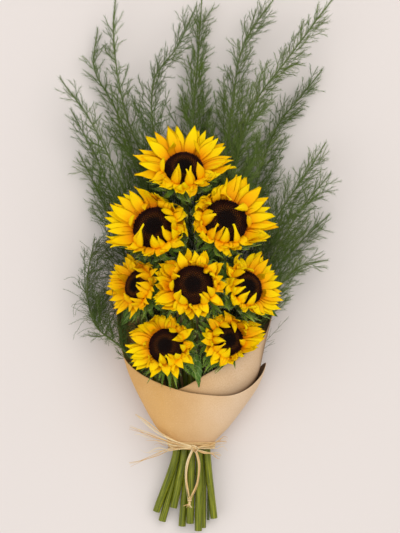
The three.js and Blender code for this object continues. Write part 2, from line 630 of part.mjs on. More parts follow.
// A slim three-sided core with whorls of three needles. Each needle rises from a small face of
// the core, so core and needles are one skin.
function spray(points, radii, from, needle) {
  const curve = new THREE.CatmullRomCurve3(points, false, "centripetal");
  const length = curve.getLength();
  const bare = Math.max(1, Math.round((from * length) / BARE_STEP));
  const whorls = Math.max(2, Math.round(((1 - from) * length) / NEEDLE_STEP));
  const stations = Array.from({ length: bare }, (_, i) => (from * i) / bare);
  const spiky = [];
  for (let i = 0; i < whorls; i += 1) {
    const t = lerp(from, 1, (i + 0.4) / whorls);
    spiky.push(stations.length);
    stations.push(t, Math.min(0.999, t + NEEDLE_ROOT / length));
  }
  const frames = framesAlong(curve, stations.map((t) => curve.getUtoTmapping(t)));
  const rings = frames.map((frame, i) => {
    const whorl = Math.floor((i - bare) / 2);
    const turn = Math.max(0, whorl) * WHORL_TURN;
    return ringAt(frame, lerp(radii[0], radii[1], stations[i]), 3, turn);
  });
  const tip = curve.getPoint(1).addScaledVector(curve.getTangent(1), needle * 0.6);
  const vertices = [...rings.flat(), tip];
  const triangles = [[0, 2, 1]];
  for (let i = 0; i < rings.length - 1; i += 1) {
    for (let k = 0; k < 3; k += 1) {
      const l = (k + 1) % 3;
      const low = i * 3;
      const high = low + 3;
      triangles.push([low + k, low + l, high + l]);
      if (spiky.includes(i)) {
        const outward = vertices[low + k].clone().add(vertices[high + l]).multiplyScalar(0.5);
        outward.sub(frames[i].point).normalize();
        const apex = frames[i].point
          .clone()
          .addScaledVector(outward, needle * NEEDLE_OUT)
          .addScaledVector(frames[i].along, needle * NEEDLE_AHEAD);
        vertices.push(apex);
        const top = vertices.length - 1;
        triangles.push([low + k, high + l, top], [high + l, high + k, top], [high + k, low + k, top]);
      } else {
        triangles.push([low + k, high + l, high + k]);
      }
    }
  }
  const last = (rings.length - 1) * 3;
  const tipIndex = rings.length * 3;
  triangles.push([last, last + 1, tipIndex], [last + 1, last + 2, tipIndex], [last + 2, last, tipIndex]);
  return solidOf(vertices, triangles);
}

function frond(shape, seed) {
  const random = seeded(seed);
  const tie = [tieSlot(shape.slot, TIE_Y - FERN_TIE), tieSlot(shape.slot, TIE_Y + FERN_TIE)];
  const shortCut = tieSlot([shape.slot[0], shape.slot[1] - FERN_CUT_DROP], TIE_Y - FERN_CUT_LENGTH);
  const cut = shape.cut ? vector(shape.cut) : shortCut;
  const points = [cut, ...tie, ...shape.line.map(vector)];
  const curve = new THREE.CatmullRomCurve3(points, false, "centripetal");
  const solids = [spray(points, [FERN_STEM, FERN_TIP], BARE_SHARE, NEEDLE_LENGTH)];
  for (let i = 0; i < shape.branchlets; i += 1) {
    const share = (i + BRANCHLET_JITTER * random()) / shape.branchlets;
    const u = lerp(shape.from, LAST_BRANCHLET, share);
    const start = curve.getPointAt(u);
    const along = curve.getTangentAt(u);
    const across = new THREE.Vector3(along.y, -along.x, 0).normalize();
    const side = i % 2 === 0 ? 1 : -1;
    const length = shape.reach * lerp(1, 0.5, share) * lerp(...BRANCHLET_LENGTHS, random());
    const tilt = BRANCHLET_TILT * (random() - 0.5);
    const reach = (way, ahead) => start
      .clone()
      .addScaledVector(across, side * way * length)
      .addScaledVector(along, ahead * length)
      .add(new THREE.Vector3(0, 0, tilt * way * length));
    const line = [start, reach(0.36, 0.4), reach(0.56, 0.95)];
    const radii = [BRANCHLET_RADIUS, BRANCHLET_RADIUS * 0.7];
    solids.push(spray(line, radii, BRANCHLET_BARE_SHARE, NEEDLE_LENGTH * 0.85));
  }
  return fused(solids);
}

// Wrap and tie.

// A point of the wrap at an angle and a place along Y, set in from the outer layer.
function wrapPoint(degrees, y, inset) {
  const [middle, half, height, rise, depth, roundness] = tableAt(WRAP_STATIONS, y);
  const angle = radians(degrees);
  const gathered = lerp(LAYER_GAP_AT_TIE / LAYER_GAP, 1, smooth((y - TIE_Y) / NECK_SPREAD));
  const layer = LAYER_GAP * gathered * smooth((degrees + LAYER_TURN) / LAYER_TURN);
  const toEnd = smooth((FLARE_FROM - degrees) / FLARE_TURN);
  const flare = END_FLARE * toEnd * smooth((y - FLARE_FOOT) / FLARE_RISE);
  const shrink = layer + inset;
  const round = (value) => Math.sign(value) * Math.abs(value) ** roundness;
  const x = middle + flare + (half - shrink) * round(Math.cos(angle));
  const up = Math.sin(angle);
  const z = height + ((up > 0 ? rise : depth) - shrink) * round(up);
  return new THREE.Vector3(x, y, Math.max(z, inset));
}

function wrap() {
  const first = WRAP_EDGE[0][0];
  const last = WRAP_EDGE[WRAP_EDGE.length - 1][0];
  const foot = WRAP_STATIONS[0][0] + 1;
  const neck = TIE_Y + BAND_WIDTH / 2;
  const faces = [0, PAPER].map((inset) => {
    const columns = [];
    for (let i = 0; i <= WRAP_COLUMNS; i += 1) {
      const degrees = lerp(first, last, i / WRAP_COLUMNS);
      const [edge] = tableAt(WRAP_EDGE, degrees);
      const places = [foot, neck, ...WRAP_ROWS.map((row) => lerp(neck, edge, row))];
      columns.push(places.map((y) => wrapPoint(degrees, y, inset)));
    }
    return columns;
  });
  const rows = WRAP_ROWS.length + 2;
  const points = faces.flat(2);
  const index = (face, i, j) => (face * (WRAP_COLUMNS + 1) + i) * rows + j;
  const triangles = [];
  const quad = (a, b, c, d) => triangles.push([a, b, c], [a, c, d]);
  for (let i = 0; i < WRAP_COLUMNS; i += 1) {
    for (let j = 0; j < rows - 1; j += 1) {
      quad(index(0, i, j), index(0, i + 1, j), index(0, i + 1, j + 1), index(0, i, j + 1));
      triangles.push([index(1, i, j), index(1, i + 1, j + 1), index(1, i + 1, j)]);
      triangles.push([index(1, i, j), index(1, i, j + 1), index(1, i + 1, j + 1)]);
    }
    quad(index(1, i, 0), index(1, i + 1, 0), index(0, i + 1, 0), index(0, i, 0));
    quad(index(0, i, rows - 1), index(0, i + 1, rows - 1), index(1, i + 1, rows - 1), index(1, i, rows - 1));
  }
  for (let j = 0; j < rows - 1; j += 1) {
    const end = WRAP_COLUMNS;
    quad(index(0, 0, j), index(0, 0, j + 1), index(1, 0, j + 1), index(1, 0, j));
    quad(index(1, end, j), index(1, end, j + 1), index(0, end, j + 1), index(0, end, j));
  }
  return solidOf(points, triangles);
}

// The band of raffia round the gathered paper, a ring with a flat section.
function band() {
  const step = (WRAP_EDGE[0][0] - WRAP_EDGE[WRAP_EDGE.length - 1][0]) / WRAP_COLUMNS;
  const segments = 360 / step;
  const edges = [
    [TIE_Y - BAND_WIDTH / 2, SEAT], [TIE_Y + BAND_WIDTH / 2, SEAT],
    [TIE_Y + BAND_WIDTH / 2, SEAT + BAND_THICKNESS], [TIE_Y - BAND_WIDTH / 2, SEAT + BAND_THICKNESS],
  ];
  const points = [];
  const triangles = [];
  for (let i = 0; i < segments; i += 1) {
    const degrees = WRAP_EDGE[0][0] - i * step;
    points.push(...edges.map(([y, out]) => bandPoint(degrees, y, out)));
    for (let k = 0; k < 4; k += 1) {
      const l = (k + 1) % 4;
      const low = i * 4;
      const high = ((i + 1) % segments) * 4;
      triangles.push([low + k, low + l, high + l], [low + k, high + l, high + k]);
    }
  }
  return solidOf(points, triangles);
}

// A point outside the wrap's outer layer at the tie.
function bandPoint(degrees, y, out) {
  const [middle, half, height, rise, depth, roundness] = tableAt(WRAP_STATIONS, y);
  const round = (value) => Math.sign(value) * Math.abs(value) ** roundness;
  const up = Math.sin(radians(degrees));
  const x = middle + (half + out) * round(Math.cos(radians(degrees)));
  return new THREE.Vector3(x, y, height + ((up > 0 ? rise : depth) + out) * round(up));
}

function strip(shape) {
  const curve = new THREE.CatmullRomCurve3(shape.line.map(vector), false, "centripetal");
  const rings = STRIP_STATIONS.map((t) => {
    const point = curve.getPoint(t);
    const along = curve.getTangent(t);
    const side = new THREE.Vector3(along.y, -along.x, 0).normalize();
    const up = new THREE.Vector3().crossVectors(side, along);
    const half = (shape.width / 2) * lerp(1, STRIP_TAPER, t);
    return [[-1, -1], [1, -1], [1, 1], [-1, 1]].map(([a, b]) => point
      .clone()
      .addScaledVector(side, a * half)
      .addScaledVector(up, (b * RAFFIA_THICKNESS) / 2));
  });
  return skin(rings);
}

function bow() {
  const knots = KNOTS.map(({ at, size, segments }) => {
    const geometry = new THREE.SphereGeometry(1, ...segments);
    return solidOfGeometry(geometry.scale(...size).translate(...at));
  });
  return fused([...knots, ...RAFFIA_STRIPS.map(strip)]);
}

// Materials.

function plain(colour, roughness) {
  return () => new THREE.MeshStandardMaterial({ color: colour, roughness, metalness: 0 });
}
const petalMaterial = plain(0xffc400, 0.6);
const discMaterial = plain(0x26140c, 0.9);
const greenMaterial = plain(0x6f8a24, 0.7);
const fernMaterial = plain(0x4f6f38, 0.8);
const paperMaterial = plain(0xd9b582, 0.85);
const raffiaMaterial = plain(0xe6c88f, 0.8);

const bouquet = new THREE.Group();
HEADS.map(headFrame).forEach((head, index) => {
  const seed = 101 + 17 * index;
  bouquet.add(meshOf(`petals_${head.name}`, petals(head, seed), petalMaterial()));
  bouquet.add(meshOf(`disc_${head.name}`, disc(head), discMaterial()));
  bouquet.add(meshOf(`stem_${head.name}`, greenery(head, seed + 7), greenMaterial()));
});
FRONDS.forEach((shape, index) => {
  bouquet.add(meshOf(`fern_${shape.name}`, frond(shape, 501 + 13 * index), fernMaterial()));
});
bouquet.add(meshOf("kraft_wrap", wrap(), paperMaterial()));
bouquet.add(meshOf("raffia_band", band(), raffiaMaterial()));
bouquet.add(meshOf("raffia_bow", bow(), raffiaMaterial()));

export default bouquet;
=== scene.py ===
"""A tied bouquet of sunflowers and asparagus fern in kraft paper: looks, camera and light.

Shapes are worked out in millimetres in the frame of the CAD model and scaled to metres in Skin.make.
"""
import math
import bpy
import numpy as np
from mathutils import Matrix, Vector


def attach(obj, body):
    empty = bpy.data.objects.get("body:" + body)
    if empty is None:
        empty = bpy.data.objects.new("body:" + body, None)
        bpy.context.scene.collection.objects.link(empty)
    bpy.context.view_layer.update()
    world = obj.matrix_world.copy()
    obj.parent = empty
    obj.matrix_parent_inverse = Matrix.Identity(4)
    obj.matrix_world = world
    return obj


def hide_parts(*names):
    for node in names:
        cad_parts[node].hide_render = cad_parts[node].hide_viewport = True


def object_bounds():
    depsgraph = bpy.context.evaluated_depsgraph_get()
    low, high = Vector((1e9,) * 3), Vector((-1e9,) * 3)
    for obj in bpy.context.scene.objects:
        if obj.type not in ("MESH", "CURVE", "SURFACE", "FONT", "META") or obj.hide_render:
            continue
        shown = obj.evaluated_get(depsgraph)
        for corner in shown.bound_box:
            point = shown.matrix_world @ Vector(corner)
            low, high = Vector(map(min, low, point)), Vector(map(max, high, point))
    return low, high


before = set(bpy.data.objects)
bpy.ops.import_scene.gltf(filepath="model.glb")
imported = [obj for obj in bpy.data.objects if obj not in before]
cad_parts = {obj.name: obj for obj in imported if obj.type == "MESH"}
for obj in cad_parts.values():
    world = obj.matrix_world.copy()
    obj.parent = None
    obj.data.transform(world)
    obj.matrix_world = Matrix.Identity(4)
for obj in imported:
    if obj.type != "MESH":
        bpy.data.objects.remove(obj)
CAD_LOW, CAD_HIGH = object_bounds()

MM = 0.001

# The same tables as the CAD model, in millimetres.
HEADS = [
    dict(name="top", at=[-13, 216, 88], lean=[0.02, 0.62], disc=23, petal=39, petals=20,
         fan=[-15, 200], over=[250, 283, 322],
         run=[[-12, 100, 25], [-10, -40, 18]], slot=[-4.7, -4.1], cut=[-16, -215, 10]),
    dict(name="left", at=[-48, 146, 94], lean=[-0.26, 0.38], disc=26, petal=38, petals=19,
         fan=[70, 225], over=[238, 282, 318, 350, 35],
         run=[[-38, 50, 26], [-26, -40, 19]], slot=[-14.2, -4.1], cut=[-40, -209, 9]),
    dict(name="right", at=[36, 154, 94], lean=[0.24, 0.38], disc=27, petal=38, petals=20,
         fan=[-50, 95], over=[150, 196, 232, 268, 300],
         run=[[28, 50, 26], [17, -40, 18]], slot=[14.2, -4.1], cut=[9, -217, 8]),
    # The left_lower head's amber value makes its petals warmer orange: painted shade, as it lies in the
    # shade of the left head.
    dict(name="left_lower", at=[-67, 77, 82], lean=[-0.95, 0.3], disc=20, petal=27, petals=17, painted_shade_amber=0.75,
         fan=[110, 240], over=[285, 318, 348, 18, 50, 80],
         run=[[-53, -10, 35], [-36, -70, 27]], slot=[-18.8, 4.1], cut=[-47, -197, 12]),
    dict(name="centre", at=[-2, 78, 113], lean=[-0.02, 0.22], disc=24, petal=34, petals=20,
         fan=[135, 225], over=[240, 270, 302, 338, 20, 62],
         run=[[-3, 20, 48], [-4, -60, 33]], slot=[0, 4.1], cut=[-6, -211, 18]),
    dict(name="right_lower", at=[61, 75, 92], lean=[0.62, 0.36], disc=21, petal=30, petals=18,
         fan=[-50, 95], over=[125, 152, 180, 208, 236, 268],
         run=[[53, -10, 31], [34, -70, 26]], slot=[18.8, 4.1], cut=[23, -205, 13]),
    dict(name="bottom_left", at=[-34, 6, 99], lean=[-0.24, 0.16], disc=21, petal=29, petals=18,
         fan=[95, 225], over=[262, 295, 322, 348, 20, 55],
         run=[[-25, -60, 42]], slot=[-9.4, 4.1], cut=[-26, -192, 17]),
    dict(name="bottom_right", at=[39, 13, 91], lean=[0.36, 0.1], disc=19, petal=30, petals=16,
         fan=[-45, 80], over=[120, 150, 182, 212, 250],
         run=[[26, -62, 40]], slot=[9.4, 4.1], cut=[4, -220, 17]),
]
LEAVES = [
    dict(head="centre", azimuth=82, length=56, width=26),
    dict(head="right", azimuth=262, length=46, width=22),
    dict(head="bottom_left", azimuth=330, length=58, width=26),
    dict(head="left_lower", azimuth=200, length=50, width=24),
    dict(head="right_lower", azimuth=350, length=52, width=24),
]
# Millimetres: how near a head is pressed by another, and where pressing starts.
NEIGHBOUR_REACH = 110
WALL_LEAN = 1.5
HEAD_FLOOR = 57
PRESS_DEPTH = 14
RING_HEIGHT = 4.6
RING_INSET = 6
SEAT = 0.3
DISC_RISE = 5.2
CALYX_DEPTH = 20
STEM_RADIUS = 4.5
PETAL_WIDTH = 15
FAN_EDGE = 35
BRACT_LENGTH = 25
BRACT_COUNT = 8
TIE_X, TIE_Y, TIE_Z = -4, -116, 20

# Middle line, half width, height of the widest line, rise, depth and roundness, by Y.
WRAP_STATIONS = [
    [-121, -4, 26.4, 20, 12.6, 14.6, 0.56],
    [-112, -4, 28, 21, 15, 16.5, 0.62],
    [-94, -3, 44, 25, 26, 26.5, 0.8],
    [-60, 0, 66, 32, 41, 37, 0.95],
    [-30, 0, 80, 37, 48, 43, 1],
    [0, -1, 88, 36, 47, 42, 1],
    [40, 0, 97, 28, 40, 33, 1],
    [100, 3, 108, 19, 30, 24, 1],
]
# The paper's upper edge: degrees round the wrap from its inner end, and the edge's Y.
WRAP_EDGE = [
    [122, -52], [100, -43], [84, -31], [66, -18], [38, 0], [12, 22], [-2, 70], [-25, 86],
    [-90, 92], [-130, 84], [-160, 58], [-172, 30], [-183, -3], [-200, -18], [-225, -33],
    [-250, -45], [-270, -51], [-305, -54], [-330, -46], [-350, -31], [-364, -17], [-380, -20],
    [-403, -44],
]
PAPER = 0.6
LAYER_GAP = 3.4
LAYER_GAP_AT_TIE = 1.3
END_FLARE = 3
FLARE_FROM = -330
FLARE_TURN = 40
FLARE_FOOT = -75
FLARE_RISE = 40

FRONDS = [
    dict(name="left_low", slot=[-20, -3.4], cut=[-25.4, -132, 14], branchlets=5, reach=30, start=0.5,
         line=[[-38, -76, 20], [-64, -30, 34], [-87, 2, 56], [-120, 30, 44], [-130, 80, 34],
               [-121, 134, 28]]),
    dict(name="left_1", slot=[-14.5, -10.2], branchlets=3, reach=34, start=0.62,
         line=[[-52, 20, 6], [-92, 130, 11], [-120, 196, 12], [-141, 238, 13]]),
    dict(name="left_2", slot=[-11.3, -10.2], branchlets=3, reach=36, start=0.6,
         line=[[-44, 20, 6], [-80, 140, 24], [-116, 224, 32], [-150, 290, 32]]),
    dict(name="left_3", slot=[-8.1, -10.2], branchlets=3, reach=34, start=0.66,
         line=[[-37, 20, 6], [-78, 170, 34], [-124, 272, 52], [-162, 326, 50]]),
    dict(name="left_4", slot=[-4.9, -10.2], branchlets=3, reach=36, start=0.58,
         line=[[-29, 20, 6], [-60, 180, 10], [-96, 290, 13], [-122, 340, 14], [-118, 388, 15]]),
    dict(name="left_5", slot=[-1.6, -10.2], branchlets=4, reach=34, start=0.6,
         line=[[-21, 20, 6], [-48, 190, 26], [-84, 286, 33], [-98, 372, 34], [-96, 424, 36]]),
    dict(name="arched", slot=[3.6, -5.3], branchlets=3, reach=32, start=0.62,
         line=[[-3, 20, 10], [-22, 140, 14], [-50, 262, 48], [-48, 326, 54], [-22, 362, 54],
               [2, 412, 56]]),
    dict(name="middle", slot=[5.5, -2.5], branchlets=3, reach=34, start=0.58,
         line=[[5, 20, 24], [4, 160, 22], [-2, 276, 14], [4, 360, 15], [8, 424, 16]]),
    dict(name="right_1", slot=[7.9, -4.9], branchlets=3, reach=34, start=0.6,
         line=[[11, 20, 19], [30, 180, 26], [46, 300, 34], [58, 366, 34], [96, 424, 36]]),
    dict(name="right_2", slot=[1.5, -10.2], branchlets=6, reach=38, start=0.54,
         line=[[16, 20, 6], [42, 190, 38], [70, 292, 54], [112, 350, 54], [166, 422, 56]]),
    dict(name="right_3", slot=[4.6, -10.2], branchlets=3, reach=34, start=0.62,
         line=[[24, 20, 6], [62, 160, 9], [100, 270, 12], [128, 306, 13], [154, 338, 14]]),
    dict(name="right_4", slot=[7.7, -10.2], branchlets=3, reach=34, start=0.62,
         line=[[32, 20, 6], [70, 110, 20], [112, 180, 34], [138, 218, 34], [158, 250, 35]]),
    dict(name="right_5", slot=[10.8, -10.2], branchlets=3, reach=30, start=0.7,
         line=[[42, 10, 6], [82, 90, 30], [124, 164, 54], [144, 190, 54], [163, 212, 56]]),
    dict(name="right_6", slot=[13.8, -9.9], branchlets=3, reach=30, start=0.68,
         line=[[50, 10, 8], [96, 94, 15], [126, 128, 15], [162, 162, 15]]),
    dict(name="right_7", slot=[20.4, -3.8], cut=[16, -208, 5], branchlets=3, reach=28, start=0.7,
         line=[[60, 10, 20], [94, 66, 37], [126, 100, 38], [160, 108, 35]]),
]
FERN_STEM = 1.6
FERN_TIP = 0.5
BRANCHLET_RADIUS = 0.55
FERN_ROW = 7
TWIG_LENGTH = 66
TWIG_STEP = 5.2
LAST_TWIG = 0.95
CURLED_FROND = "left_low"
# By frond: how close its twigs are, their share of length to the left and right, and where they begin.
FULLNESS = dict(middle=1.75, arched=1.25, right_1=1.5, right_2=1.4, right_3=1.35, right_4=1.35,
                right_5=1.25, left_4=0.8, left_5=0.85, left_3=0.9, left_low=0.27)
TWIG_SHARE = dict(left_low=[0.45, 1.05])
FERN_START = dict(left_low=0.25, left_1=0.22, left_2=0.26)

BAND_WIDTH = 8
BAND_THICKNESS = 1.6
LINE_STEPS = 10
RAFFIA_STRIPS = [
    dict(width=4, line=[[-2, -118, 39.6], [-9, -136, 34], [-11, -160, 31], [-7, -181, 28]]),
    dict(width=4, line=[[0, -118, 39.6], [5, -138, 34], [3, -160, 31], [-6, -182, 28]]),
    dict(width=3.4, line=[[-1, -117, 40], [-22, -110, 42], [-44, -98, 44], [-71, -77, 40]]),
    dict(width=3, line=[[-1, -117, 39.4], [-24, -113, 40], [-46, -106, 40], [-79, -94, 36]]),
    dict(width=2.4, line=[[-1, -120, 39.4], [-30, -120, 37], [-50, -129, 33], [-79, -139, 28]]),
    dict(width=3, line=[[0, -118, 39.8], [14, -115, 41.5], [26, -112, 38], [38, -110, 34]]),
    dict(width=3, line=[[0, -120, 39], [10, -123, 38.6], [22, -125, 34], [31, -129, 31]]),
]


# Numbers and vectors.

def seeded(seed):
    """The CAD model's own random draws, so that its petals and branchlets come out in the same places."""
    state = [seed]

    def draw():
        state[0] = (state[0] * 1664525 + 1013904223) % 4294967296
        return state[0] / 4294967296

    return draw


def smooth(value):
    v = np.clip(value, 0, 1)
    return v * v * (3 - 2 * v)


def lerp(a, b, t):
    return a + (b - a) * t


def turns(count):
    """Even angles round a circle."""
    return np.arange(count) * 2 * math.pi / count


def radians(*degrees):
    return [math.radians(d) for d in degrees]


def profile_at(profile, share):
    """A width from rows of share and width."""
    return np.interp(share, [p[0] for p in profile], [p[1] for p in profile])


def unit(v):
    v = np.asarray(v, float)
    return v / np.maximum(np.linalg.norm(v, axis=-1, keepdims=True), 1e-9)


def table_at(table, key):
    """Reads rows [key, value, ...] at a key, on a smooth curve through the rows."""
    rising = 1 if table[1][0] > table[0][0] else -1
    row = 0
    while row < len(table) - 2 and (key - table[row + 1][0]) * rising > 0:
        row += 1
    start, end = table[row], table[row + 1]
    before = table[max(0, row - 1)]
    after = table[min(len(table) - 1, row + 2)]
    span = end[0] - start[0]
    t = min(1.0, max(0.0, (key - start[0]) / span))
    values = []
    for k in range(1, len(start)):
        first = (end[k] - before[k]) / (end[0] - before[0]) * span
        last = (after[k] - start[k]) / (after[0] - start[0]) * span
        rise = end[k] - start[k]
        values.append(start[k] + t * first + t * t * (3 * rise - 2 * first - last)
                      + t * t * t * (first + last - 2 * rise))
    return values


class Curve:
    """A smooth curve through points (a centripetal one, as the CAD model's), read by share of its length."""

    def __init__(self, points, fine=24):
        p = np.asarray(points, float)
        p = np.vstack([2 * p[0] - p[1], p, 2 * p[-1] - p[-2]])
        dense = []
        for i in range(1, len(p) - 2):
            a, b, c, d = p[i - 1], p[i], p[i + 1], p[i + 2]
            ta, tb, tc = (max(1e-4, float(np.linalg.norm(e)) ** 0.5) for e in (b - a, c - b, d - c))
            first = ((b - a) / ta - (c - a) / (ta + tb) + (c - b) / tb) * tb
            last = ((c - b) / tb - (d - b) / (tb + tc) + (d - c) / tc) * tb
            t = np.linspace(0, 1, fine, endpoint=False)[:, None]
            dense.append(b + t * first + t * t * (3 * (c - b) - 2 * first - last)
                         + t ** 3 * (first + last - 2 * (c - b)))
        self.points = np.vstack([*dense, p[-2][None]])
        steps = np.linalg.norm(np.diff(self.points, axis=0), axis=1)
        self.lengths = np.concatenate([[0], np.cumsum(steps)])
        self.length = float(self.lengths[-1])

    def at(self, share):
        place = np.clip(np.asarray(share, float), 0, 1) * self.length
        return np.stack([np.interp(place, self.lengths, self.points[:, k]) for k in range(3)], axis=-1)

    def along(self, share):
        step = 0.6 / self.length
        s = np.asarray(share, float)
        return unit(self.at(s + step) - self.at(s - step))


def carried_frames(line):
    """Two directions across a line at each of its points, which don't spin along it."""
    line = np.asarray(line, float)
    along = unit(np.gradient(line, axis=0))
    across = np.zeros_like(line)
    hint = np.array([0.0, 0, 1]) if abs(along[0][2]) < 0.8 else np.array([1.0, 0, 0])
    for i, way in enumerate(along):
        hint = unit(hint - way * hint.dot(way))
        across[i] = hint
    return along, across, np.cross(along, across)


def plain_frames(along):
    """Two directions across each of many directions."""
    helper = np.where(np.abs(along[:, 2:3]) < 0.9, [[0.0, 0, 1]], [[1.0, 0, 0]])
    across = unit(np.cross(along, helper))
    return across, np.cross(along, across)


def leaning_out(fine, along, index, spread, flatness=1.0):
    """A direction out from a stem: to one side and the other by turns, with some scatter."""
    across, beside = plain_frames(along[None])
    turn = (index % 2) * math.pi + fine.normal(0, spread)
    return across[0] * math.cos(turn) + beside[0] * math.sin(turn) * flatness


def placed(name, data):
    thing = bpy.data.objects.new(name, data)
    bpy.context.scene.collection.objects.link(thing)
    return thing


# Meshes.

SPIKE_CORNERS = (0, 2.094, 4.189)


class Skin:
    """Gathers vertices in millimetres, faces, and three values at each vertex, for one object.

    The values reach the materials as along, across and tint; what they mean depends on the piece.
    """

    def __init__(self):
        self.points, self.values, self.faces, self.slots = [], [], [], []
        self.count = 0

    def add(self, points, faces, along, across, tint, slot=0):
        points = np.asarray(points, float).reshape(-1, 3)
        value = np.zeros((len(points), 3))
        value[:, 0], value[:, 1], value[:, 2] = along, across, tint
        faces = np.asarray(faces, int) + self.count
        self.points.append(points)
        self.values.append(value)
        self.faces.extend(faces.tolist())
        self.slots.extend([slot] * len(faces))
        self.count += len(points)

    def rings(self, rings, along, across, tint, slot=0, caps=True):
        """Skins rings of points (rows, around, 3). With caps, both ends are closed to their middles."""
        rings = np.asarray(rings, float)
        rows, size = rings.shape[:2]
        i, k = np.meshgrid(np.arange(rows - 1), np.arange(size), indexing="ij")
        low, side = i * size + k, i * size + (k + 1) % size
        quads = np.stack([low, side, side + size, low + size], axis=-1).reshape(-1, 4)
        along = np.broadcast_to(np.asarray(along, float), (rows, size))
        across = np.broadcast_to(np.asarray(across, float), (rows, size))
        self.add(rings.reshape(-1, 3), quads, along.reshape(-1), across.reshape(-1), tint, slot)
        if not caps:
            return
        first = self.count - rows * size
        k = np.arange(size)
        for row, order in ((0, -1), (rows - 1, 1)):
            ring = first + row * size
            fan = np.stack([ring + k, ring + (k + 1) % size, np.full(size, self.count)], axis=-1)
            self.points.append(rings[row].mean(axis=0)[None])
            self.values.append(np.array([[along[row].mean(), across[row].mean(), tint]]))
            self.faces.extend(fan[:, ::order].tolist())
            self.slots.extend([slot] * size)
            self.count += 1

    def tube(self, line, radii, sides, tint):
        """A closed tube along a line, with a radius at each of its points."""
        across, beside = plain_frames(unit(np.gradient(line, axis=0)))
        turn = turns(sides)
        rings = (line[:, None] + radii[:, None, None] * (across[:, None] * np.cos(turn)[None, :, None]
                                                         + beside[:, None] * np.sin(turn)[None, :, None]))
        self.rings(rings, np.linspace(0, 1, len(line))[:, None], (turn / (2 * math.pi))[None], tint)

    def spikes(self, bases, directions, lengths, width, tint, slot, along=0.0):
        """Thin three-sided, pointed needles, which are open only at the root."""
        directions = unit(directions)
        count = len(bases)
        across, beside = plain_frames(directions)
        corners = [bases + width / 2 * (across * math.cos(a) + beside * math.sin(a)) for a in SPIKE_CORNERS]
        tips = bases + directions * lengths[:, None]
        points = np.stack([*corners, tips], axis=1).reshape(-1, 3)
        sides = np.array([[0, 1, 3], [1, 2, 3], [2, 0, 3]])
        faces = (np.arange(count)[:, None, None] * 4 + sides).reshape(-1, 3)
        shares = np.tile([0.0, 0, 0, 1], count)
        tints = np.repeat(np.broadcast_to(np.asarray(tint, float), (count,)), 4)
        ways = np.repeat(np.broadcast_to(np.asarray(along, float), (count,)), 4)
        self.add(points, faces, ways, shares, tints, slot)

    def make(self, name, materials, node):
        mesh = bpy.data.meshes.new(name)
        mesh.from_pydata((np.vstack(self.points) * MM).tolist(), [], self.faces)
        values = np.vstack(self.values).astype(np.float32)
        for k, key in enumerate(("along", "across", "tint")):
            mesh.attributes.new(key, "FLOAT", "POINT").data.foreach_set("value", values[:, k].copy())
        for material in materials:
            mesh.materials.append(material)
        mesh.polygons.foreach_set("material_index", self.slots)
        mesh.polygons.foreach_set("use_smooth", [True] * len(mesh.polygons))
        mesh.update()
        piece = placed(name, mesh)
        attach(piece, "root")
        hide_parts(node)


# Heads: the frame of each and the walls that its petals, bracts and leaves keep behind.

HEAD_GROUND = ([0, 0, HEAD_FLOOR], [0, 0, -1])
WRAP_FRONT = ([0, -42, 90], [0, -0.62, -0.78])
WRAP_RIGHT = ([29, -18, 80], [0.4, -0.86, -0.3])


def wall_through(point, normal):
    """A wall's outward direction and how far along it the wall lies."""
    direction = unit(normal)
    return direction, float(direction.dot(np.asarray(point, float)))


def head_frame(head):
    origin = np.array(head["at"], float)
    axis = unit([head["lean"][0], head["lean"][1], 1])
    east = unit(np.array([1.0, 0, 0]) - axis * axis[0])
    north = np.cross(axis, east)
    walls = [wall_through(*HEAD_GROUND)]
    for other in HEADS:
        away = np.array(other["at"], float) - origin
        if other["name"] != head["name"] and math.hypot(away[0], away[1]) < NEIGHBOUR_REACH:
            walls.append(wall_through(origin + away / 2, [away[0], away[1], away[2] * WALL_LEAN]))
    if head["name"].startswith("bottom"):
        walls.append(wall_through(*WRAP_FRONT))
    if head["name"] in ("bottom_right", "right_lower"):
        walls.append(wall_through(*WRAP_RIGHT))
    return dict(head, origin=origin, axis=axis, east=east, north=north, walls=walls)


WALL_LIFT = 0.12


def blade_line(head, azimuth, root, length, angles, margin, way, turn=0.5):
    """Points of a blade's middle line, with the directions across it and up from it.

    Angles are above the head's plane: at the root, past the turn, and what is added evenly to the tip.
    """
    radial = head["east"] * math.cos(azimuth) + head["north"] * math.sin(azimuth)
    point = head["origin"] + radial * root[0] + head["axis"] * root[1]
    across = np.cross(head["axis"], radial)
    points, sides, ups = [], [], []
    for i in range(LINE_STEPS + 1):
        s = i / LINE_STEPS
        angle = lerp(angles[0], angles[1], smooth(s / turn)) + angles[2] * s
        along = radial * math.cos(angle) + head["axis"] * math.sin(angle)
        side = across.copy()
        for normal, offset in head["walls"]:
            gap = offset - normal.dot(point) - margin
            press = smooth(1 - gap / PRESS_DEPTH)
            along = along - normal * press * max(0.0, normal.dot(along))
            along = along + head["axis"] * WALL_LIFT * press * way
            side = side - normal * press * normal.dot(side)
        along = unit(along)
        side = unit(side - along * side.dot(along))
        points.append(point)
        sides.append(side)
        ups.append(np.cross(along, side))
        point = point + along * length / LINE_STEPS
    return np.array(points), np.array(sides), np.array(ups)


def resampled(line, rows):
    """A blade's line with more points, smoothed between the ones it has."""
    points, sides, ups = line
    share = np.linspace(0, 1, rows)
    place = share * (len(points) - 1)
    keys = np.arange(len(points))
    side, up = (unit(np.stack([np.interp(place, keys, way[:, k]) for k in range(3)], axis=-1))
                for way in (sides, ups))
    return Curve(points, 8).at(share), side, up


FULL_THICKNESS_WIDTH = 0.35


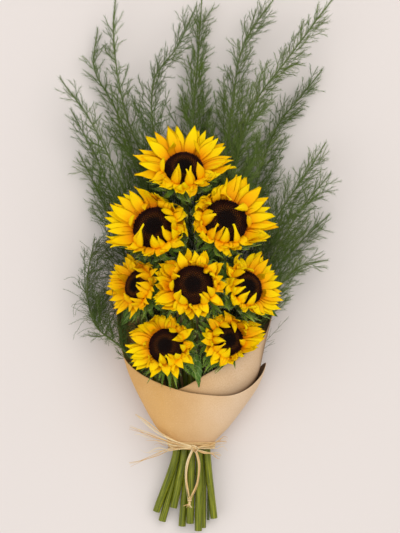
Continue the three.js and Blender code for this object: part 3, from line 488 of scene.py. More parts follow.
def blade(skin, line, rows, columns, half, profile, height, thickness, tint, slot, twist=0.0):
    """A closed blade: profile gives the share of half the width by share of the length, and height
    the lift of the surface by share along and place across, from -1 to 1."""
    points, side, up = resampled(line, rows)
    share = np.linspace(0, 1, rows)
    turn = (twist * share ** 1.5)[:, None]
    side, up = side * np.cos(turn) + up * np.sin(turn), up * np.cos(turn) - side * np.sin(turn)
    u = np.linspace(-1, 1, columns)
    width = half * profile_at(profile, share)
    lift = height(share[:, None], u[None, :])
    top = points[:, None] + side[:, None] * (width[:, None, None] * u[None, :, None])
    top = top + up[:, None] * lift[..., None]
    inner = u[1:-1][::-1]
    body = thickness * (1 - inner ** 2) * np.minimum(1, width / (FULL_THICKNESS_WIDTH * half))[:, None]
    under = top[:, 1:-1][:, ::-1] - up[:, None] * body[..., None]
    rings = np.concatenate([top, under], axis=1)
    across = np.concatenate([np.abs(u), np.abs(inner) - 2])
    skin.rings(rings, share[:, None], across[None], tint, slot)


PETAL_PROFILE = [
    (0, 0.66), (0.1, 0.8), (0.22, 0.92), (0.36, 1), (0.5, 0.98), (0.62, 0.86), (0.74, 0.64), (0.85, 0.38),
    (0.93, 0.18), (1, 0.02),
]
PETAL_ROWS = 15
PETAL_COLUMNS = 7
PETAL_THICKNESS = 0.45


def petal(skin, head, fine, azimuth, root, length, angles, margin, half, turn, twist):
    line = blade_line(head, azimuth, root, length, angles, margin, 1, turn)
    wave, curl = fine.uniform(0, 6.3), fine.normal(0, 0.07)
    cup = fine.uniform(0.08, 0.3) + 0.35 * max(0.0, twist - 0.4)

    def height(s, u):
        groove = 0.05 * half * np.cos(3 * math.pi * u) * np.sin(math.pi * s)
        edge = 0.1 * half * np.abs(u) ** 3 * np.sin(7 * s + wave + 1.5 * np.sign(u))
        tip = curl * length * np.clip(s - 0.55, 0, 1) ** 2 / 0.2
        return cup * half * np.abs(u) ** 1.5 * (0.5 + s * (1 - 0.5 * s)) + groove + edge + tip

    # A head's amber value lifts the tint, which warms its petals toward orange as painted shade.
    blade(skin, line, PETAL_ROWS, PETAL_COLUMNS, half, PETAL_PROFILE, height, PETAL_THICKNESS,
          lerp(head.get("painted_shade_amber", 0), 1, fine.uniform(0, 1)), 0, fine.normal(0, twist))


def room_ahead(head, azimuth):
    """Distance from a petal's root to the nearest wall, in the petal's direction."""
    radial = head["east"] * math.cos(azimuth) + head["north"] * math.sin(azimuth)
    start = head["origin"] + radial * head["disc"]
    rooms = []
    for normal, offset in head["walls"]:
        closing = normal.dot(radial)
        rooms.append(math.inf if closing < 0.05 else (offset - normal.dot(start)) / closing)
    return min(rooms)


def in_head(head, x, y, z):
    """Points from places along a head's own east, north and axis."""
    return (head["origin"] + np.asarray(x)[..., None] * head["east"]
            + np.asarray(y)[..., None] * head["north"] + np.asarray(z)[..., None] * head["axis"])


def lathe(skin, head, profile, segments, tint, slot=0):
    """A ring or bowl round a head's axis, from rows of radius and height."""
    turn = turns(segments)
    radius = np.array([p[0] for p in profile], float)[:, None]
    height = np.array([p[1] for p in profile], float)[:, None] + 0 * turn[None]
    rings = in_head(head, radius * np.cos(turn), radius * np.sin(turn), height)
    share = np.linspace(0, 1, len(profile))[:, None]
    skin.rings(rings, share, (turn / (2 * math.pi))[None], tint, slot)


RING_SEGMENTS = 48
OUTER_SHARE = 0.56
EXTRA_PETALS = 34
EXTRA_LAYERS = (0.2, 0.95, 0.7)
OVER_WIDTH = 0.86
FULL_PETAL = 36


def half_width(length, share):
    """Half the width of a petal, which grows with its length."""
    return (PETAL_WIDTH / 2) * share * (0.35 + 0.65 * length / FULL_PETAL)


def place_petal(skin, head, fine, azimuth, length, half, draws, layer, over, flared=False):
    """A petal of the outer layer (0), the inner layer (1) or between, or one that bends over the disc.
    Petals of the fan lie open, and those outside it stand up along the head's axis, or first stand up
    and then flare outward."""
    low, high = head["fan"]
    beside = abs((azimuth - (low + high) / 2 + 180) % 360 - 180) - (high - low) / 2
    azimuth = math.radians(azimuth)
    pressed = smooth((length * 0.95 - room_ahead(head, azimuth)) / (0.5 * length))
    raised = max(pressed, smooth(beside / FAN_EDGE))
    opened = lerp(2 + 12 * draws[0], 14 + 16 * draws[0], layer)
    closed = lerp(8 + 48 * draws[1], 66 + 42 * draws[1], layer)
    angles = [12 + 12 * layer, lerp(opened, closed, raised), -10 * draws[2]]
    if over:
        angles = [30 + 30 * draws[2], 86 + 44 * draws[0], 44 * draws[1] - 12]
    if flared:
        angles = [66 + 12 * draws[0], 30 * draws[1] - 12, -14 - 20 * draws[2]]
    root = [head["disc"] - 1.2, -SEAT - RING_HEIGHT * lerp(0.6, 0.28, layer)]
    margin = 2.6 + draws[2] + 0.6 * layer
    width, turn, twist = (half * OVER_WIDTH, 0.42, 1.0) if over else (half, 0.5, 0.3)
    petal(skin, head, fine, azimuth, root, length, radians(*angles), margin, width, turn, twist)


def petal_ring(skin, head):
    """The ring under the disc's edge that holds the petals' roots."""
    inner = (head["disc"] - RING_INSET) + 0.8
    outer = head["disc"] + 0.4
    top = -SEAT - 0.4
    foot = top - RING_HEIGHT + 0.5
    turn = turns(RING_SEGMENTS)
    rings = np.stack([in_head(head, r * np.cos(turn), r * np.sin(turn), z + 0 * turn)
                      for r, z in ((inner, top), (inner, foot), (outer, foot), (outer, top))])
    k = np.arange(RING_SEGMENTS)
    after = (k + 1) % RING_SEGMENTS
    quads = []
    for row in range(4):
        low, high = row * RING_SEGMENTS, (row + 1) % 4 * RING_SEGMENTS
        quads.append(np.stack([low + k, high + k, high + after, low + after], axis=-1))
    skin.add(rings, np.vstack(quads), 0, 0, 0.5, 1)


def make_petals(head, seed, materials):
    """The CAD model's petals in its places, and extra ones between them."""
    random = seeded(seed)
    fine = np.random.default_rng(seed)
    skin = Skin()
    petal_ring(skin, head)
    outer_count = round(head["petals"] * OUTER_SHARE)
    inner_count = head["petals"] - outer_count - len(head["over"])
    low, high = head["fan"]
    for i in range(head["petals"]):
        draws = [random() for _ in range(6)]
        outside = i < outer_count
        over = i >= outer_count + inner_count
        shift = 0.3 * (draws[0] - 0.5)
        if outside:
            azimuth = (i + shift) * 360 / outer_count
            in_fan = (azimuth - low) % 360 < high - low
            length = head["petal"] * (0.92 + 0.2 * draws[1]) * (1 if in_fan else 0.82)
        elif over:
            azimuth = head["over"][i - outer_count - inner_count] + 30 * shift
            length = head["petal"] * (0.8 + 0.2 * draws[1])
        else:
            azimuth = lerp(low, high, (i - outer_count + 0.5 + shift) / inner_count)
            length = head["petal"] * (0.83 + 0.18 * draws[1])
        half = half_width(length, 0.86 + 0.2 * draws[2])
        place_petal(skin, head, fine, azimuth, length, half, draws[3:], 0.0 if outside else 1.0, over)
    reach = high - low
    open_count = round(EXTRA_PETALS * 0.5)
    for i in range(EXTRA_PETALS):
        draws = fine.random(6)
        in_fan = i < open_count
        if in_fan:
            azimuth = low + reach * (i + draws[0]) / open_count
        else:
            azimuth = high + (360 - reach) * (i - open_count + draws[0]) / (EXTRA_PETALS - open_count)
        length = head["petal"] * (0.8 + 0.22 * draws[1])
        half = half_width(length, 0.76 + 0.24 * draws[2])
        kind = i % 3
        layer = fine.random() if in_fan else EXTRA_LAYERS[kind] * fine.uniform(0.6, 1.05)
        flared = not in_fan and kind != 1
        over = kind == 1 and i % 2 == 0
        if not in_fan:
            length *= 0.8 if kind == 1 else 0.72
        place_petal(skin, head, fine, azimuth, length, half, draws[3:], layer, over, flared)
    skin.make("bloom_petals_" + head["name"], materials, "petals_" + head["name"])


FLORETS = 380
FLORET_SIDES = 5
FLORET_POINTS = 3 * FLORET_SIDES + 1
FLORET_LEVELS = [(1.0, -0.6), (0.86, 0.5), (0.5, 0.92)]


def floret_faces():
    """The faces of one floret: two rows of sides, a point and a foot."""
    faces = []
    for level in range(2):
        low, high = level * FLORET_SIDES, (level + 1) * FLORET_SIDES
        for s in range(FLORET_SIDES):
            t = (s + 1) % FLORET_SIDES
            faces += [[low + s, low + t, high + t], [low + s, high + t, high + s]]
    last = 2 * FLORET_SIDES
    faces += [[last + s, last + (s + 1) % FLORET_SIDES, FLORET_POINTS - 1] for s in range(FLORET_SIDES)]
    faces += [[0, s + 1, s] for s in range(1, FLORET_SIDES - 1)]
    return np.array(faces)


def make_disc(head, seed, material):
    """A domed disc with florets in a spiral, the ripe ones tallest."""
    fine = np.random.default_rng(seed)
    skin = Skin()
    radius = head["disc"] - 0.4

    def dome(share):
        return DISC_RISE * (1 - share ** 4) - 2.4 * (1 - share) ** 2 + 0.5

    plug = head["disc"] - RING_INSET - 0.6
    profile = [(plug, -SEAT - RING_HEIGHT), (plug, -0.4), (radius, -0.3), (radius, 0.2)]
    profile += [(radius * s, dome(s) - 0.3) for s in (0.98, 0.93, 0.86, 0.76, 0.64, 0.5, 0.35, 0.18, 0.05)]
    lathe(skin, head, profile, 48, 0.4)
    k = np.arange(FLORETS)
    share = np.sqrt((k + 0.5) / FLORETS) * 0.985
    turn = k * math.pi * (3 - math.sqrt(5)) + math.radians(17)
    size = radius / math.sqrt(FLORETS) * 0.92
    ripe = smooth((share - 0.42) / 0.16) * (1 - smooth((share - 0.8) / 0.16))
    tall = (1.5 + 1.1 * ripe + 0.5 * fine.random(FLORETS)) * (0.7 + 0.3 * smooth(share / 0.3))
    around = turns(FLORET_SIDES)
    lean = 0.5 * (share - 0.45)
    points = []
    for width, rise in FLORET_LEVELS:
        x = share * radius + lean * tall * max(rise, 0)
        cx, cy = x * np.cos(turn), x * np.sin(turn)
        w = size * width
        px = cx[:, None] + w * np.cos(around + turn[:, None])
        py = cy[:, None] + w * np.sin(around + turn[:, None])
        pz = (dome(share) + tall * rise)[:, None] + 0 * px
        points.append(in_head(head, px, py, pz))
    x = share * radius + lean * tall
    tip = in_head(head, x * np.cos(turn), x * np.sin(turn), dome(share) + tall)
    points = np.concatenate([*points, tip[:, None]], axis=1)
    faces = (k[:, None, None] * FLORET_POINTS + floret_faces()).reshape(-1, 3)
    height = np.tile(np.repeat([0.0, 0.5, 0.9, 1.0], [FLORET_SIDES] * 3 + [1]), FLORETS)
    skin.add(points, faces, np.repeat(share, FLORET_POINTS), height,
             np.repeat(fine.random(FLORETS), FLORET_POINTS))
    skin.make("bloom_disc_" + head["name"], [material], "disc_" + head["name"])


# Green parts of a head: stem, calyx, bracts, leaves and hairs.

BRACT_ROWS = 11
BRACT_COLUMNS = 5
LEAF_ROWS = 36
LEAF_COLUMNS = 13
LEAF_THICKNESS = 0.5
HAIRS_ON_EDGE = 9
HAIR_WIDTH = 0.22
STEM_ROWS = 66
STEM_SIDES = 20
SMALL_BRACTS = [(22, -3.4, -2, 6), (20, -7.5, -22, -24)]
BRACT_PROFILE = [
    (0, 0.9), (0.12, 1), (0.3, 0.92), (0.5, 0.68), (0.68, 0.42), (0.82, 0.22), (0.93, 0.1), (1, 0.03),
]


def bract(skin, head, fine, azimuth, root, length, angles, margin, half, hairs):
    line = blade_line(head, azimuth, root, length, angles, margin, -1)
    wave = fine.uniform(0, 6.3)

    def height(s, u):
        rise = 0.18 * half * np.abs(u) + 0.12 * half * np.sin(5 * s + wave) * s
        return rise - 0.1 * half * (np.abs(u) < 0.1)

    blade(skin, line, BRACT_ROWS, BRACT_COLUMNS, half, BRACT_PROFILE, height, LEAF_THICKNESS,
          fine.uniform(0, 1), 1, fine.normal(0, 0.3))
    points, sides, ups = line
    for side in (-1, 1):
        for share in np.linspace(0.08, 0.9, HAIRS_ON_EDGE):
            place = share * LINE_STEPS
            low = int(place)
            width = half * profile_at(BRACT_PROFILE, share)
            point = lerp(points[low], points[low + 1], place - low)
            edge = point + sides[low] * side * width + ups[low] * 0.18 * half
            out = sides[low] * side + ups[low] * fine.uniform(-0.3, 0.5)
            out = out + unit(points[low + 1] - points[low]) * 0.7
            hairs.append((edge, out))


LEAF_PROFILE = [
    (0, 0.1), (0.1, 0.34), (0.2, 0.74), (0.26, 0.9), (0.3, 0.8), (0.36, 0.96), (0.4, 0.84), (0.46, 0.98),
    (0.5, 0.82), (0.56, 0.86), (0.6, 0.7), (0.66, 0.72), (0.7, 0.55), (0.76, 0.52), (0.8, 0.36),
    (0.86, 0.3), (0.92, 0.15), (1, 0.02),
]


def leaf(skin, head, fine, shape):
    angles = radians(-24, -14, -6)
    root = [STEM_RADIUS + 3, -CALYX_DEPTH + 2]
    line = blade_line(head, math.radians(shape["azimuth"]), root, shape["length"], angles, 3.4, -0.4)
    half = shape["width"] / 2

    def height(s, u):
        veins = 0.35 * np.cos(2 * math.pi * (s * 7 - np.abs(u) * 1.6)) * np.clip(np.abs(u) * 3, 0, 1)
        return 0.14 * half * np.abs(u) + veins * (1 - s) + 0.5 * np.sin(9 * s) * u * u

    blade(skin, line, LEAF_ROWS, LEAF_COLUMNS, half, LEAF_PROFILE, height, LEAF_THICKNESS,
          fine.uniform(0, 1), 2)


def stem_points(head):
    toward = np.array(head["run"][0], float) - head["origin"]
    toward[2] = 0
    toward = unit(toward)
    under = head["origin"] - head["axis"] * (CALYX_DEPTH + 1)
    neck = head["origin"] - head["axis"] * (CALYX_DEPTH + 16) + toward * 3
    bend = head["origin"] + toward * 32
    bend[2] = lerp(head["run"][0][2], neck[2], 0.35)
    tie = [tie_slot(head["slot"], TIE_Y + 8), tie_slot(head["slot"], TIE_Y - 10)]
    return [under, neck, bend, *head["run"], *tie, head["cut"]]


def tie_slot(slot, y):
    return [TIE_X + slot[0], y, TIE_Z + slot[1]]


def ribbed_stem(skin, head, fine, seed):
    """The stem with its fine ribs, and its hollowed cut end."""
    share = np.linspace(0, 1, STEM_ROWS)
    line = Curve(stem_points(head)).at(share)
    _, across, beside = carried_frames(line)
    turn = turns(STEM_SIDES)
    rib = 1 + 0.035 * np.cos(5 * turn[None] + 2 * share[:, None]) + 0.02 * np.cos(9 * turn[None])
    radius = STEM_RADIUS * (0.97 + 0.03 * np.sin(8 * share + seed))[:, None] * rib
    rings = line[:, None] + across[:, None] * (radius * np.cos(turn))[..., None]
    rings = rings + beside[:, None] * (radius * np.sin(turn))[..., None]
    skin.rings(rings, share[:, None], (turn / (2 * math.pi))[None], fine.uniform(0, 1), 0, caps=False)
    along = unit(line[-1] - line[-2])
    end = np.stack([line[-1] + (rings[-1] - line[-1]) * s + along * d
                    for s, d in ((0.999, 0.01), (0.86, 0.05), (0.6, -0.3), (0.3, -0.5))])
    skin.rings(end, np.array([[0.0], [0.2], [0.6], [1]]), 0.5, 0.5, 3)


def make_stem(head, seed, materials):
    """A stem with its calyx, bracts, leaves and hairs, as one piece."""
    random = seeded(seed)
    fine = np.random.default_rng(seed)
    skin = Skin()
    ribbed_stem(skin, head, fine, seed)
    r = head["disc"]
    top = -RING_HEIGHT - 2 * SEAT
    bowl = [(0.5, top), (r + 0.2, top), (r + 1.2, top - 2.4), (r * 0.9, top - 6), (r * 0.66, top - 10),
            (r * 0.42, -CALYX_DEPTH + 1), (STEM_RADIUS + 1.4, -CALYX_DEPTH - 2), (2, -CALYX_DEPTH - 4)]
    lathe(skin, head, bowl, 40, 0.3, 1)
    hairs = []
    for i in range(BRACT_COUNT):
        azimuth = (i + 0.35 * random()) * 2 * math.pi / BRACT_COUNT
        angles = radians(-14, -18 + 9 * random(), -8)
        root = [r - 3, -RING_HEIGHT - 4.6]
        length = BRACT_LENGTH * (0.9 + 0.3 * random())
        bract(skin, head, fine, azimuth, root, length, angles, 2.6, 5.2, hairs)
    for row, (count, low, first, second) in enumerate(SMALL_BRACTS):
        for i in range(count):
            azimuth = (i + fine.uniform(0.1, 0.9)) * 2 * math.pi / count
            angles = radians(first, second + fine.uniform(-8, 14), -6)
            root = [r - 1.5 - 3 * row, -RING_HEIGHT + low]
            length = BRACT_LENGTH * fine.uniform(0.85, 1.35)
            bract(skin, head, fine, azimuth, root, length, angles, 1.8, fine.uniform(2.3, 3.5), hairs)
    for shape in LEAVES:
        if shape["head"] == head["name"]:
            leaf(skin, head, fine, shape)
    bases, ways = (np.array(rows) for rows in zip(*hairs))
    skin.spikes(bases, ways, fine.uniform(1.4, 3.4, len(bases)), HAIR_WIDTH, 0.5, 4)
    skin.make("green_stem_" + head["name"], materials, "stem_" + head["name"])


# Fern.

NEEDLE_WIDTH = 0.4
# How far needles stay inside the paper, and how many rows of its edge make the turn that encloses them.
NEEDLE_ROOM = 5.0
OUTER_TURN = 18
# How far needles may pass the ends of the CAD box.
PAST_LOW = [6, 6, 0]
PAST_HIGH = [6, 8, 2]
# The ellipse under the heads where fewer needles are made and where they are given painted shade, darker
# toward its middle.
HIDDEN_CENTRE = (-2, 84)
HIDDEN_REACH = (100, 112)
HIDDEN_THINNING = 0.55


def wrap_share(points):
    """How far out points lie in the wrap's section at their Y, under 1 being inside, and the edge's Y."""
    stations = np.array(WRAP_STATIONS, float)
    y = np.clip(points[:, 1], stations[0, 0], stations[-1, 0])
    middle, half, height, rise, depth, power = (np.interp(y, stations[:, 0], stations[:, k])
                                                for k in range(1, 7))
    x, z = points[:, 0] - middle, points[:, 2] - height
    tall = np.where(z > 0, rise, depth) - NEEDLE_ROOM
    value = (np.abs(x) / (half - NEEDLE_ROOM)) ** (2 / power) + (np.abs(z) / tall) ** (2 / power)
    degrees = np.degrees(np.arctan2(z, x))
    degrees = np.where(degrees > WRAP_EDGE[0][0], degrees - 360, degrees)
    edge = np.array(WRAP_EDGE[:OUTER_TURN], float)[::-1]
    return value, np.interp(degrees, edge[:, 0], edge[:, 1])


def clear_of_rest(tips, frames):
    """Which needles stay inside the paper where it encloses them, and out of the flower heads."""
    value, edge = wrap_share(tips)
    keep = (value < 1) | (tips[:, 1] > edge + 3)
    for head in frames:
        offset = tips - head["origin"]
        high = offset @ head["axis"]
        wide = np.linalg.norm(offset - high[:, None] * head["axis"], axis=1)
        keep &= (high < -7 - 0.12 * wide) | (wide > head["disc"] + head["petal"] + 2)
        keep &= (wide > head["disc"] * 0.9 + 2) | (high < -CALYX_DEPTH)
    return keep


class Needles:
    """Gathers the needles of one frond."""

    def __init__(self, fine):
        self.fine = fine
        self.bases, self.ways, self.lengths, self.tints = [], [], [], []

    def whorls(self, line, step, per, length, opening, tint):
        """Needles round a line, every step along it, with their length at its first and its last point."""
        curve = Curve(line, 4)
        count = max(1, int(curve.length / step))
        share = (np.arange(count) + self.fine.uniform(0, 1)) / count
        share = np.repeat(share, per) + self.fine.normal(0, 0.15 / count, count * per)
        share = np.clip(share, 0, 1)
        base, along = curve.at(share), curve.along(share)
        across, beside = plain_frames(along)
        turn = self.fine.uniform(0, 2 * math.pi, len(share))
        out = across * np.cos(turn)[:, None] + beside * np.sin(turn)[:, None]
        tilt = np.radians(self.fine.normal(opening, 8, len(share)))
        self.bases.append(base)
        self.ways.append(along * np.cos(tilt)[:, None] + out * np.sin(tilt)[:, None])
        span = lerp(length[0], length[1], share) * self.fine.uniform(0.7, 1.15, len(share))
        self.lengths.append(span)
        self.tints.append(np.clip(tint + self.fine.normal(0, 0.12, len(share)), 0, 1))

    def place(self, skin, frames):
        """Makes the needles that are clear of the rest, fewer of them where the heads hide them, and passes
        on how much painted shade they get there.
        """
        base, way = np.vstack(self.bases), unit(np.vstack(self.ways))
        length, tint = np.concatenate(self.lengths), np.concatenate(self.tints)
        tip = base + way * length[:, None]
        tip[:, 2] = np.maximum(tip[:, 2], 0.5)
        low, high = np.array(CAD_LOW) / MM, np.array(CAD_HIGH) / MM
        tip = np.clip(tip, low - PAST_LOW, high + PAST_HIGH)
        way = tip - base
        keep = clear_of_rest(tip, frames)
        aside, ahead = ((base[:, k] - HIDDEN_CENTRE[k]) / HIDDEN_REACH[k] for k in range(2))
        thinning_and_painted_shade = smooth(1.3 - aside ** 2 - ahead ** 2)
        keep &= self.fine.random(len(thinning_and_painted_shade)) > HIDDEN_THINNING * thinning_and_painted_shade
        length = np.linalg.norm(way[keep], axis=1)
        skin.spikes(base[keep], way[keep], length, NEEDLE_WIDTH, tint[keep], 1, thinning_and_painted_shade[keep])


# The range of the opening angle, how far it closes, rows and radius, by level.
TWIG_LEVELS = {
    1: (0.3, 0.8, 0.5, 5, BRANCHLET_RADIUS * 0.8),
    2: (0.35, 0.85, 0.7, 3, 0.26),
}


def twig(skin, needles, fine, start, along, out, length, tint, level):
    """A side twig that leaves at an angle and bends forward, with finer twigs and needles on it."""
    low, high, closing, rows, thick = TWIG_LEVELS[level]
    opening = fine.uniform(low, high)
    close = opening * closing
    first = unit(along * math.cos(opening) + out * math.sin(opening))
    last = unit(along * math.cos(close) + out * math.sin(close) + fine.normal(0, 0.1, 3))
    middle = start + first * length * 0.4
    line = np.array([start, middle, middle + last * length * 0.6])
    line[:, 2] = np.clip(line[:, 2], 1.5, 72)
    shape = Curve(line, 4)
    skin.tube(shape.at(np.linspace(0, 1, rows)), np.linspace(thick, thick * 0.5, rows), 3, tint)
    needles.whorls(line, 2.3, 3, (8.6, 5.0), 27, tint)
    if level == 2:
        return
    count = int(length / 8)
    for i in range(count):
        share = (i + fine.uniform(0.1, 0.9)) / (count + 0.8)
        here, way = shape.at(share), shape.along(share)
        side = leaning_out(fine, way, i, 0.7)
        twig(skin, needles, fine, here, way, side, fine.uniform(11, 20) * (1.15 - 0.6 * share), tint, 2)


CURLED_TWIGS = 300
CURL_STEPS = 8
UPRIGHT_TWIGS = 22


def curled_mesh(skin, needles, fine, curve, tint):
    """The fine curled twigs of the frond at the lower left, most of them on its inner side."""
    for _ in range(CURLED_TWIGS):
        share = fine.uniform(0.56, 0.98)
        point, along = curve.at(share), curve.along(share)
        inward = fine.random() < 0.86
        side = unit([along[1], -along[0], 0]) * (1 if inward else -1)
        heading, bend = fine.uniform(0.5, 2.0), fine.normal(0, 0.14)
        stride = (fine.uniform(24, 58) if inward else fine.uniform(6, 15)) / CURL_STEPS
        line = [point]
        for _ in range(CURL_STEPS):
            heading += bend + fine.normal(0, 0.2)
            step = along * math.cos(heading) + side * math.sin(heading) + [0, 0, fine.normal(-0.3, 0.25)]
            point = point + unit(step) * stride
            line.append([point[0], point[1], min(max(point[2], 2), 60)])
        line = np.array(line)
        skin.tube(line, np.linspace(0.26, 0.2, CURL_STEPS + 1), 3, tint)
        needles.whorls(line[3:], 2.2, 1, (4.2, 2.8), 50, tint)


def upright_twigs(skin, needles, fine, curve, tint):
    """Twigs that stand up inside the paper's left edge; the low tint they are given makes them dark as
    painted shade.
    """
    for i in range(UPRIGHT_TWIGS):
        start = curve.at(lerp(0.34, 0.72, (i + fine.random()) / UPRIGHT_TWIGS))
        along = unit([fine.uniform(0.05, 0.6), 1, -0.16])
        out = unit([fine.normal(0, 1), 0, fine.normal(0, 0.5)])
        twig(skin, needles, fine, start, along, out, fine.uniform(44, 80), tint, 1)


def branchlet(skin, needles, fine, random, shape, curve, i, tint):
    """One of the branchlets that the CAD model has too, with twigs on it."""
    part = (i + 0.3 * random()) / shape["branchlets"]
    u = lerp(shape["start"], 0.95, part)
    start, along = curve.at(u), curve.along(u)
    across = unit([along[1], -along[0], 0])
    side = 1 if i % 2 == 0 else -1
    length = shape["reach"] * lerp(1, 0.5, part) * (0.85 + 0.3 * random())
    tilt = 0.16 * (random() - 0.5)
    bent = [start + across * side * way * length + along * ahead * length + [0, 0, tilt * way * length]
            for way, ahead in ((0.36, 0.4), (0.56, 0.95))]
    path = Curve([start, *bent], 6)
    skin.tube(path.at(np.linspace(0, 1, 7)), np.linspace(BRANCHLET_RADIUS, 0.3, 7), 4, tint)
    per = 1 if shape["name"] == CURLED_FROND else 3
    needles.whorls(path.at(np.linspace(0.08, 1, 9)), 2.0, per, (6.5, 4.2), 38, tint)
    count = int(length / 6)
    for j in range(count):
        place = (j + 0.6) / (count + 0.5)
        here, way = path.at(place), path.along(place)
        out = leaning_out(fine, way, j, 0.7)
        twig(skin, needles, fine, here, way, out, fine.uniform(8, 15) * (1.1 - 0.5 * place), tint, 2)


def make_frond(shape, index, frames, materials):
    """A frond: its stem, the CAD model's branchlets, many finer twigs, and needles on all of them."""
    random = seeded(501 + 13 * index)
    fine = np.random.default_rng(700 + index)
    skin = Skin()
    needles = Needles(fine)
    tie = [tie_slot(shape["slot"], TIE_Y - 6), tie_slot(shape["slot"], TIE_Y + 6)]
    short_cut = tie_slot([shape["slot"][0], shape["slot"][1] - 0.9], TIE_Y - 12)
    points = [shape.get("cut", short_cut), *tie, *shape["line"]]
    curve = Curve(points)
    share = np.linspace(0, 1, int(curve.length / FERN_ROW))
    skin.tube(curve.at(share), lerp(FERN_STEM, FERN_TIP, share), 7, 0.3 + 0.1 * (index % 3))
    frond_tint = 0.2 + 0.5 * fine.random()
    shown = FERN_START.get(shape["name"], 0.3)
    curled = shape["name"] == CURLED_FROND
    needles.whorls(curve.at(np.linspace(0.6, 1, 40)), 1.5, 1 if curled else 5, (9.5, 6.0), 33, frond_tint)
    for i in range(shape["branchlets"]):
        branchlet(skin, needles, fine, random, shape, curve, i, frond_tint)
    needles.whorls(curve.at(np.linspace(0.34, 0.6, 20)), 1.4, 4, (15, 11), 44, frond_tint)
    if curled:
        curled_mesh(skin, needles, fine, curve, frond_tint)
        # The upright twigs get the lowest tint: darker green as painted shade inside the paper.
        upright_twigs(skin, needles, fine, curve, 0.1)
    full = FULLNESS.get(shape["name"], 1)
    step = TWIG_STEP / full
    count = int(curve.length * (LAST_TWIG - shown) / step)
    for i in range(count):
        u = lerp(shown, LAST_TWIG, (i + fine.uniform(0, 1)) / count)
        start, along = curve.at(u), curve.along(u)
        out = leaning_out(fine, along, i, 0.6, 0.7)
        body = smooth((u - shown + 0.1) / 0.24) * (1 - 0.82 * smooth((u - 0.56) / 0.3))
        length = TWIG_LENGTH * fine.uniform(0.55, 1.2) * lerp(0.2, 1, body) * (0.8 + 0.2 * full)
        length *= TWIG_SHARE.get(shape["name"], [1, 1])[int(out[0] > 0)]
        tint = np.clip(frond_tint + fine.normal(0, 0.1), 0, 1)
        twig(skin, needles, fine, start, along, unit(out), length, tint, 1)
    needles.place(skin, frames)
    skin.make("fine_fern_" + shape["name"], materials, "fern_" + shape["name"])


# Paper.

def section_point(degrees, y, out, shift=0.0):
    """A point round the bundle's section at a Y, moved out from it and to the side."""
    middle, half, height, rise, depth, roundness = table_at(WRAP_STATIONS, y)
    across, up = math.cos(math.radians(degrees)), math.sin(math.radians(degrees))
    x = middle + shift + (half + out) * math.copysign(abs(across) ** roundness, across)
    z = height + ((rise if up > 0 else depth) + out) * math.copysign(abs(up) ** roundness, up)
    return [x, y, z]


def wrap_point(degrees, y, inset):
    """A point of the paper: its inner turn lies a gap inside its outer one, and its outer end flares."""
    gathered = lerp(LAYER_GAP_AT_TIE / LAYER_GAP, 1, float(smooth((y - TIE_Y) / 50)))
    shrink = LAYER_GAP * gathered * float(smooth((degrees + 190) / 190)) + inset
    turned, raised = smooth((FLARE_FROM - degrees) / FLARE_TURN), smooth((y - FLARE_FOOT) / FLARE_RISE)
    flare = END_FLARE * float(turned * raised)
    x, y, z = section_point(degrees, y, -shrink, flare)
    return [x, y, max(z, inset)]


WRAP_COLUMNS = 210
WRAP_ROWS = 42
DENTS = 40
PLEATS = 26


def wrap_faces(first, last):
    """The paper's outer and inner face, with shallow dents, and pleats near the tie."""
    foot = WRAP_STATIONS[0][0] + 1
    fine = np.random.default_rng(31)
    dents = [(fine.uniform(last, first), fine.uniform(-100, 20), fine.uniform(9, 22), fine.uniform(12, 30),
              fine.uniform(-0.8, 0.8)) for _ in range(DENTS)]
    pleats = [(fine.uniform(last, first), fine.uniform(3, 7), fine.uniform(0.5, 1.1)) for _ in range(PLEATS)]
    faces = np.zeros((2, WRAP_COLUMNS + 1, WRAP_ROWS + 1, 3))
    for i in range(WRAP_COLUMNS + 1):
        degrees = lerp(first, last, i / WRAP_COLUMNS)
        edge = table_at(WRAP_EDGE, degrees)[0]
        for j in range(WRAP_ROWS + 1):
            y = lerp(foot, edge, (j / WRAP_ROWS) ** 1.15)
            near = math.exp(-max(0.0, y - TIE_Y - 6) / 26) * float(smooth((y - TIE_Y - 4) / 8))
            push = sum(deep * math.exp(-((degrees - at) / wide) ** 2) for at, wide, deep in pleats) * near
            for centre, place, wide, tall, deep in dents:
                push += deep * math.exp(-((degrees - centre) / wide) ** 2 - ((y - place) / tall) ** 2)
            for face, inset in enumerate((0, PAPER)):
                faces[face, i, j] = wrap_point(degrees, y, inset + max(0.0, min(push + 0.5, 1.6)) * 0.9)
    return faces


def wrap_painted_shade(rings, first, last):
    """How much painted shade the paper gets: past the rim of its outer turn, and on the inner face of its
    outer end.
    """
    painted_shade = np.zeros(rings.shape[:2])
    for i in range(WRAP_COLUMNS + 1):
        degrees = lerp(first, last, i / WRAP_COLUMNS)
        y = rings[i, :, 1]
        if degrees - 360 > last:
            rim = table_at(WRAP_EDGE, degrees - 360)[0]
            right = float(smooth((95 - degrees) / 85))
            painted_shade[i] = lerp(0.55, 1.0, right) * np.exp(-np.maximum(0, y - rim) / lerp(4.0, 17.0, right))
            painted_shade[i] = np.maximum(painted_shade[i], 0.9 * float(smooth((26 - degrees) / 24)))
        elif degrees < -150:
            painted_shade[i, WRAP_ROWS + 1:] = 0.55 + 0.4 * float(smooth((-320 - degrees) / 30))
    return painted_shade


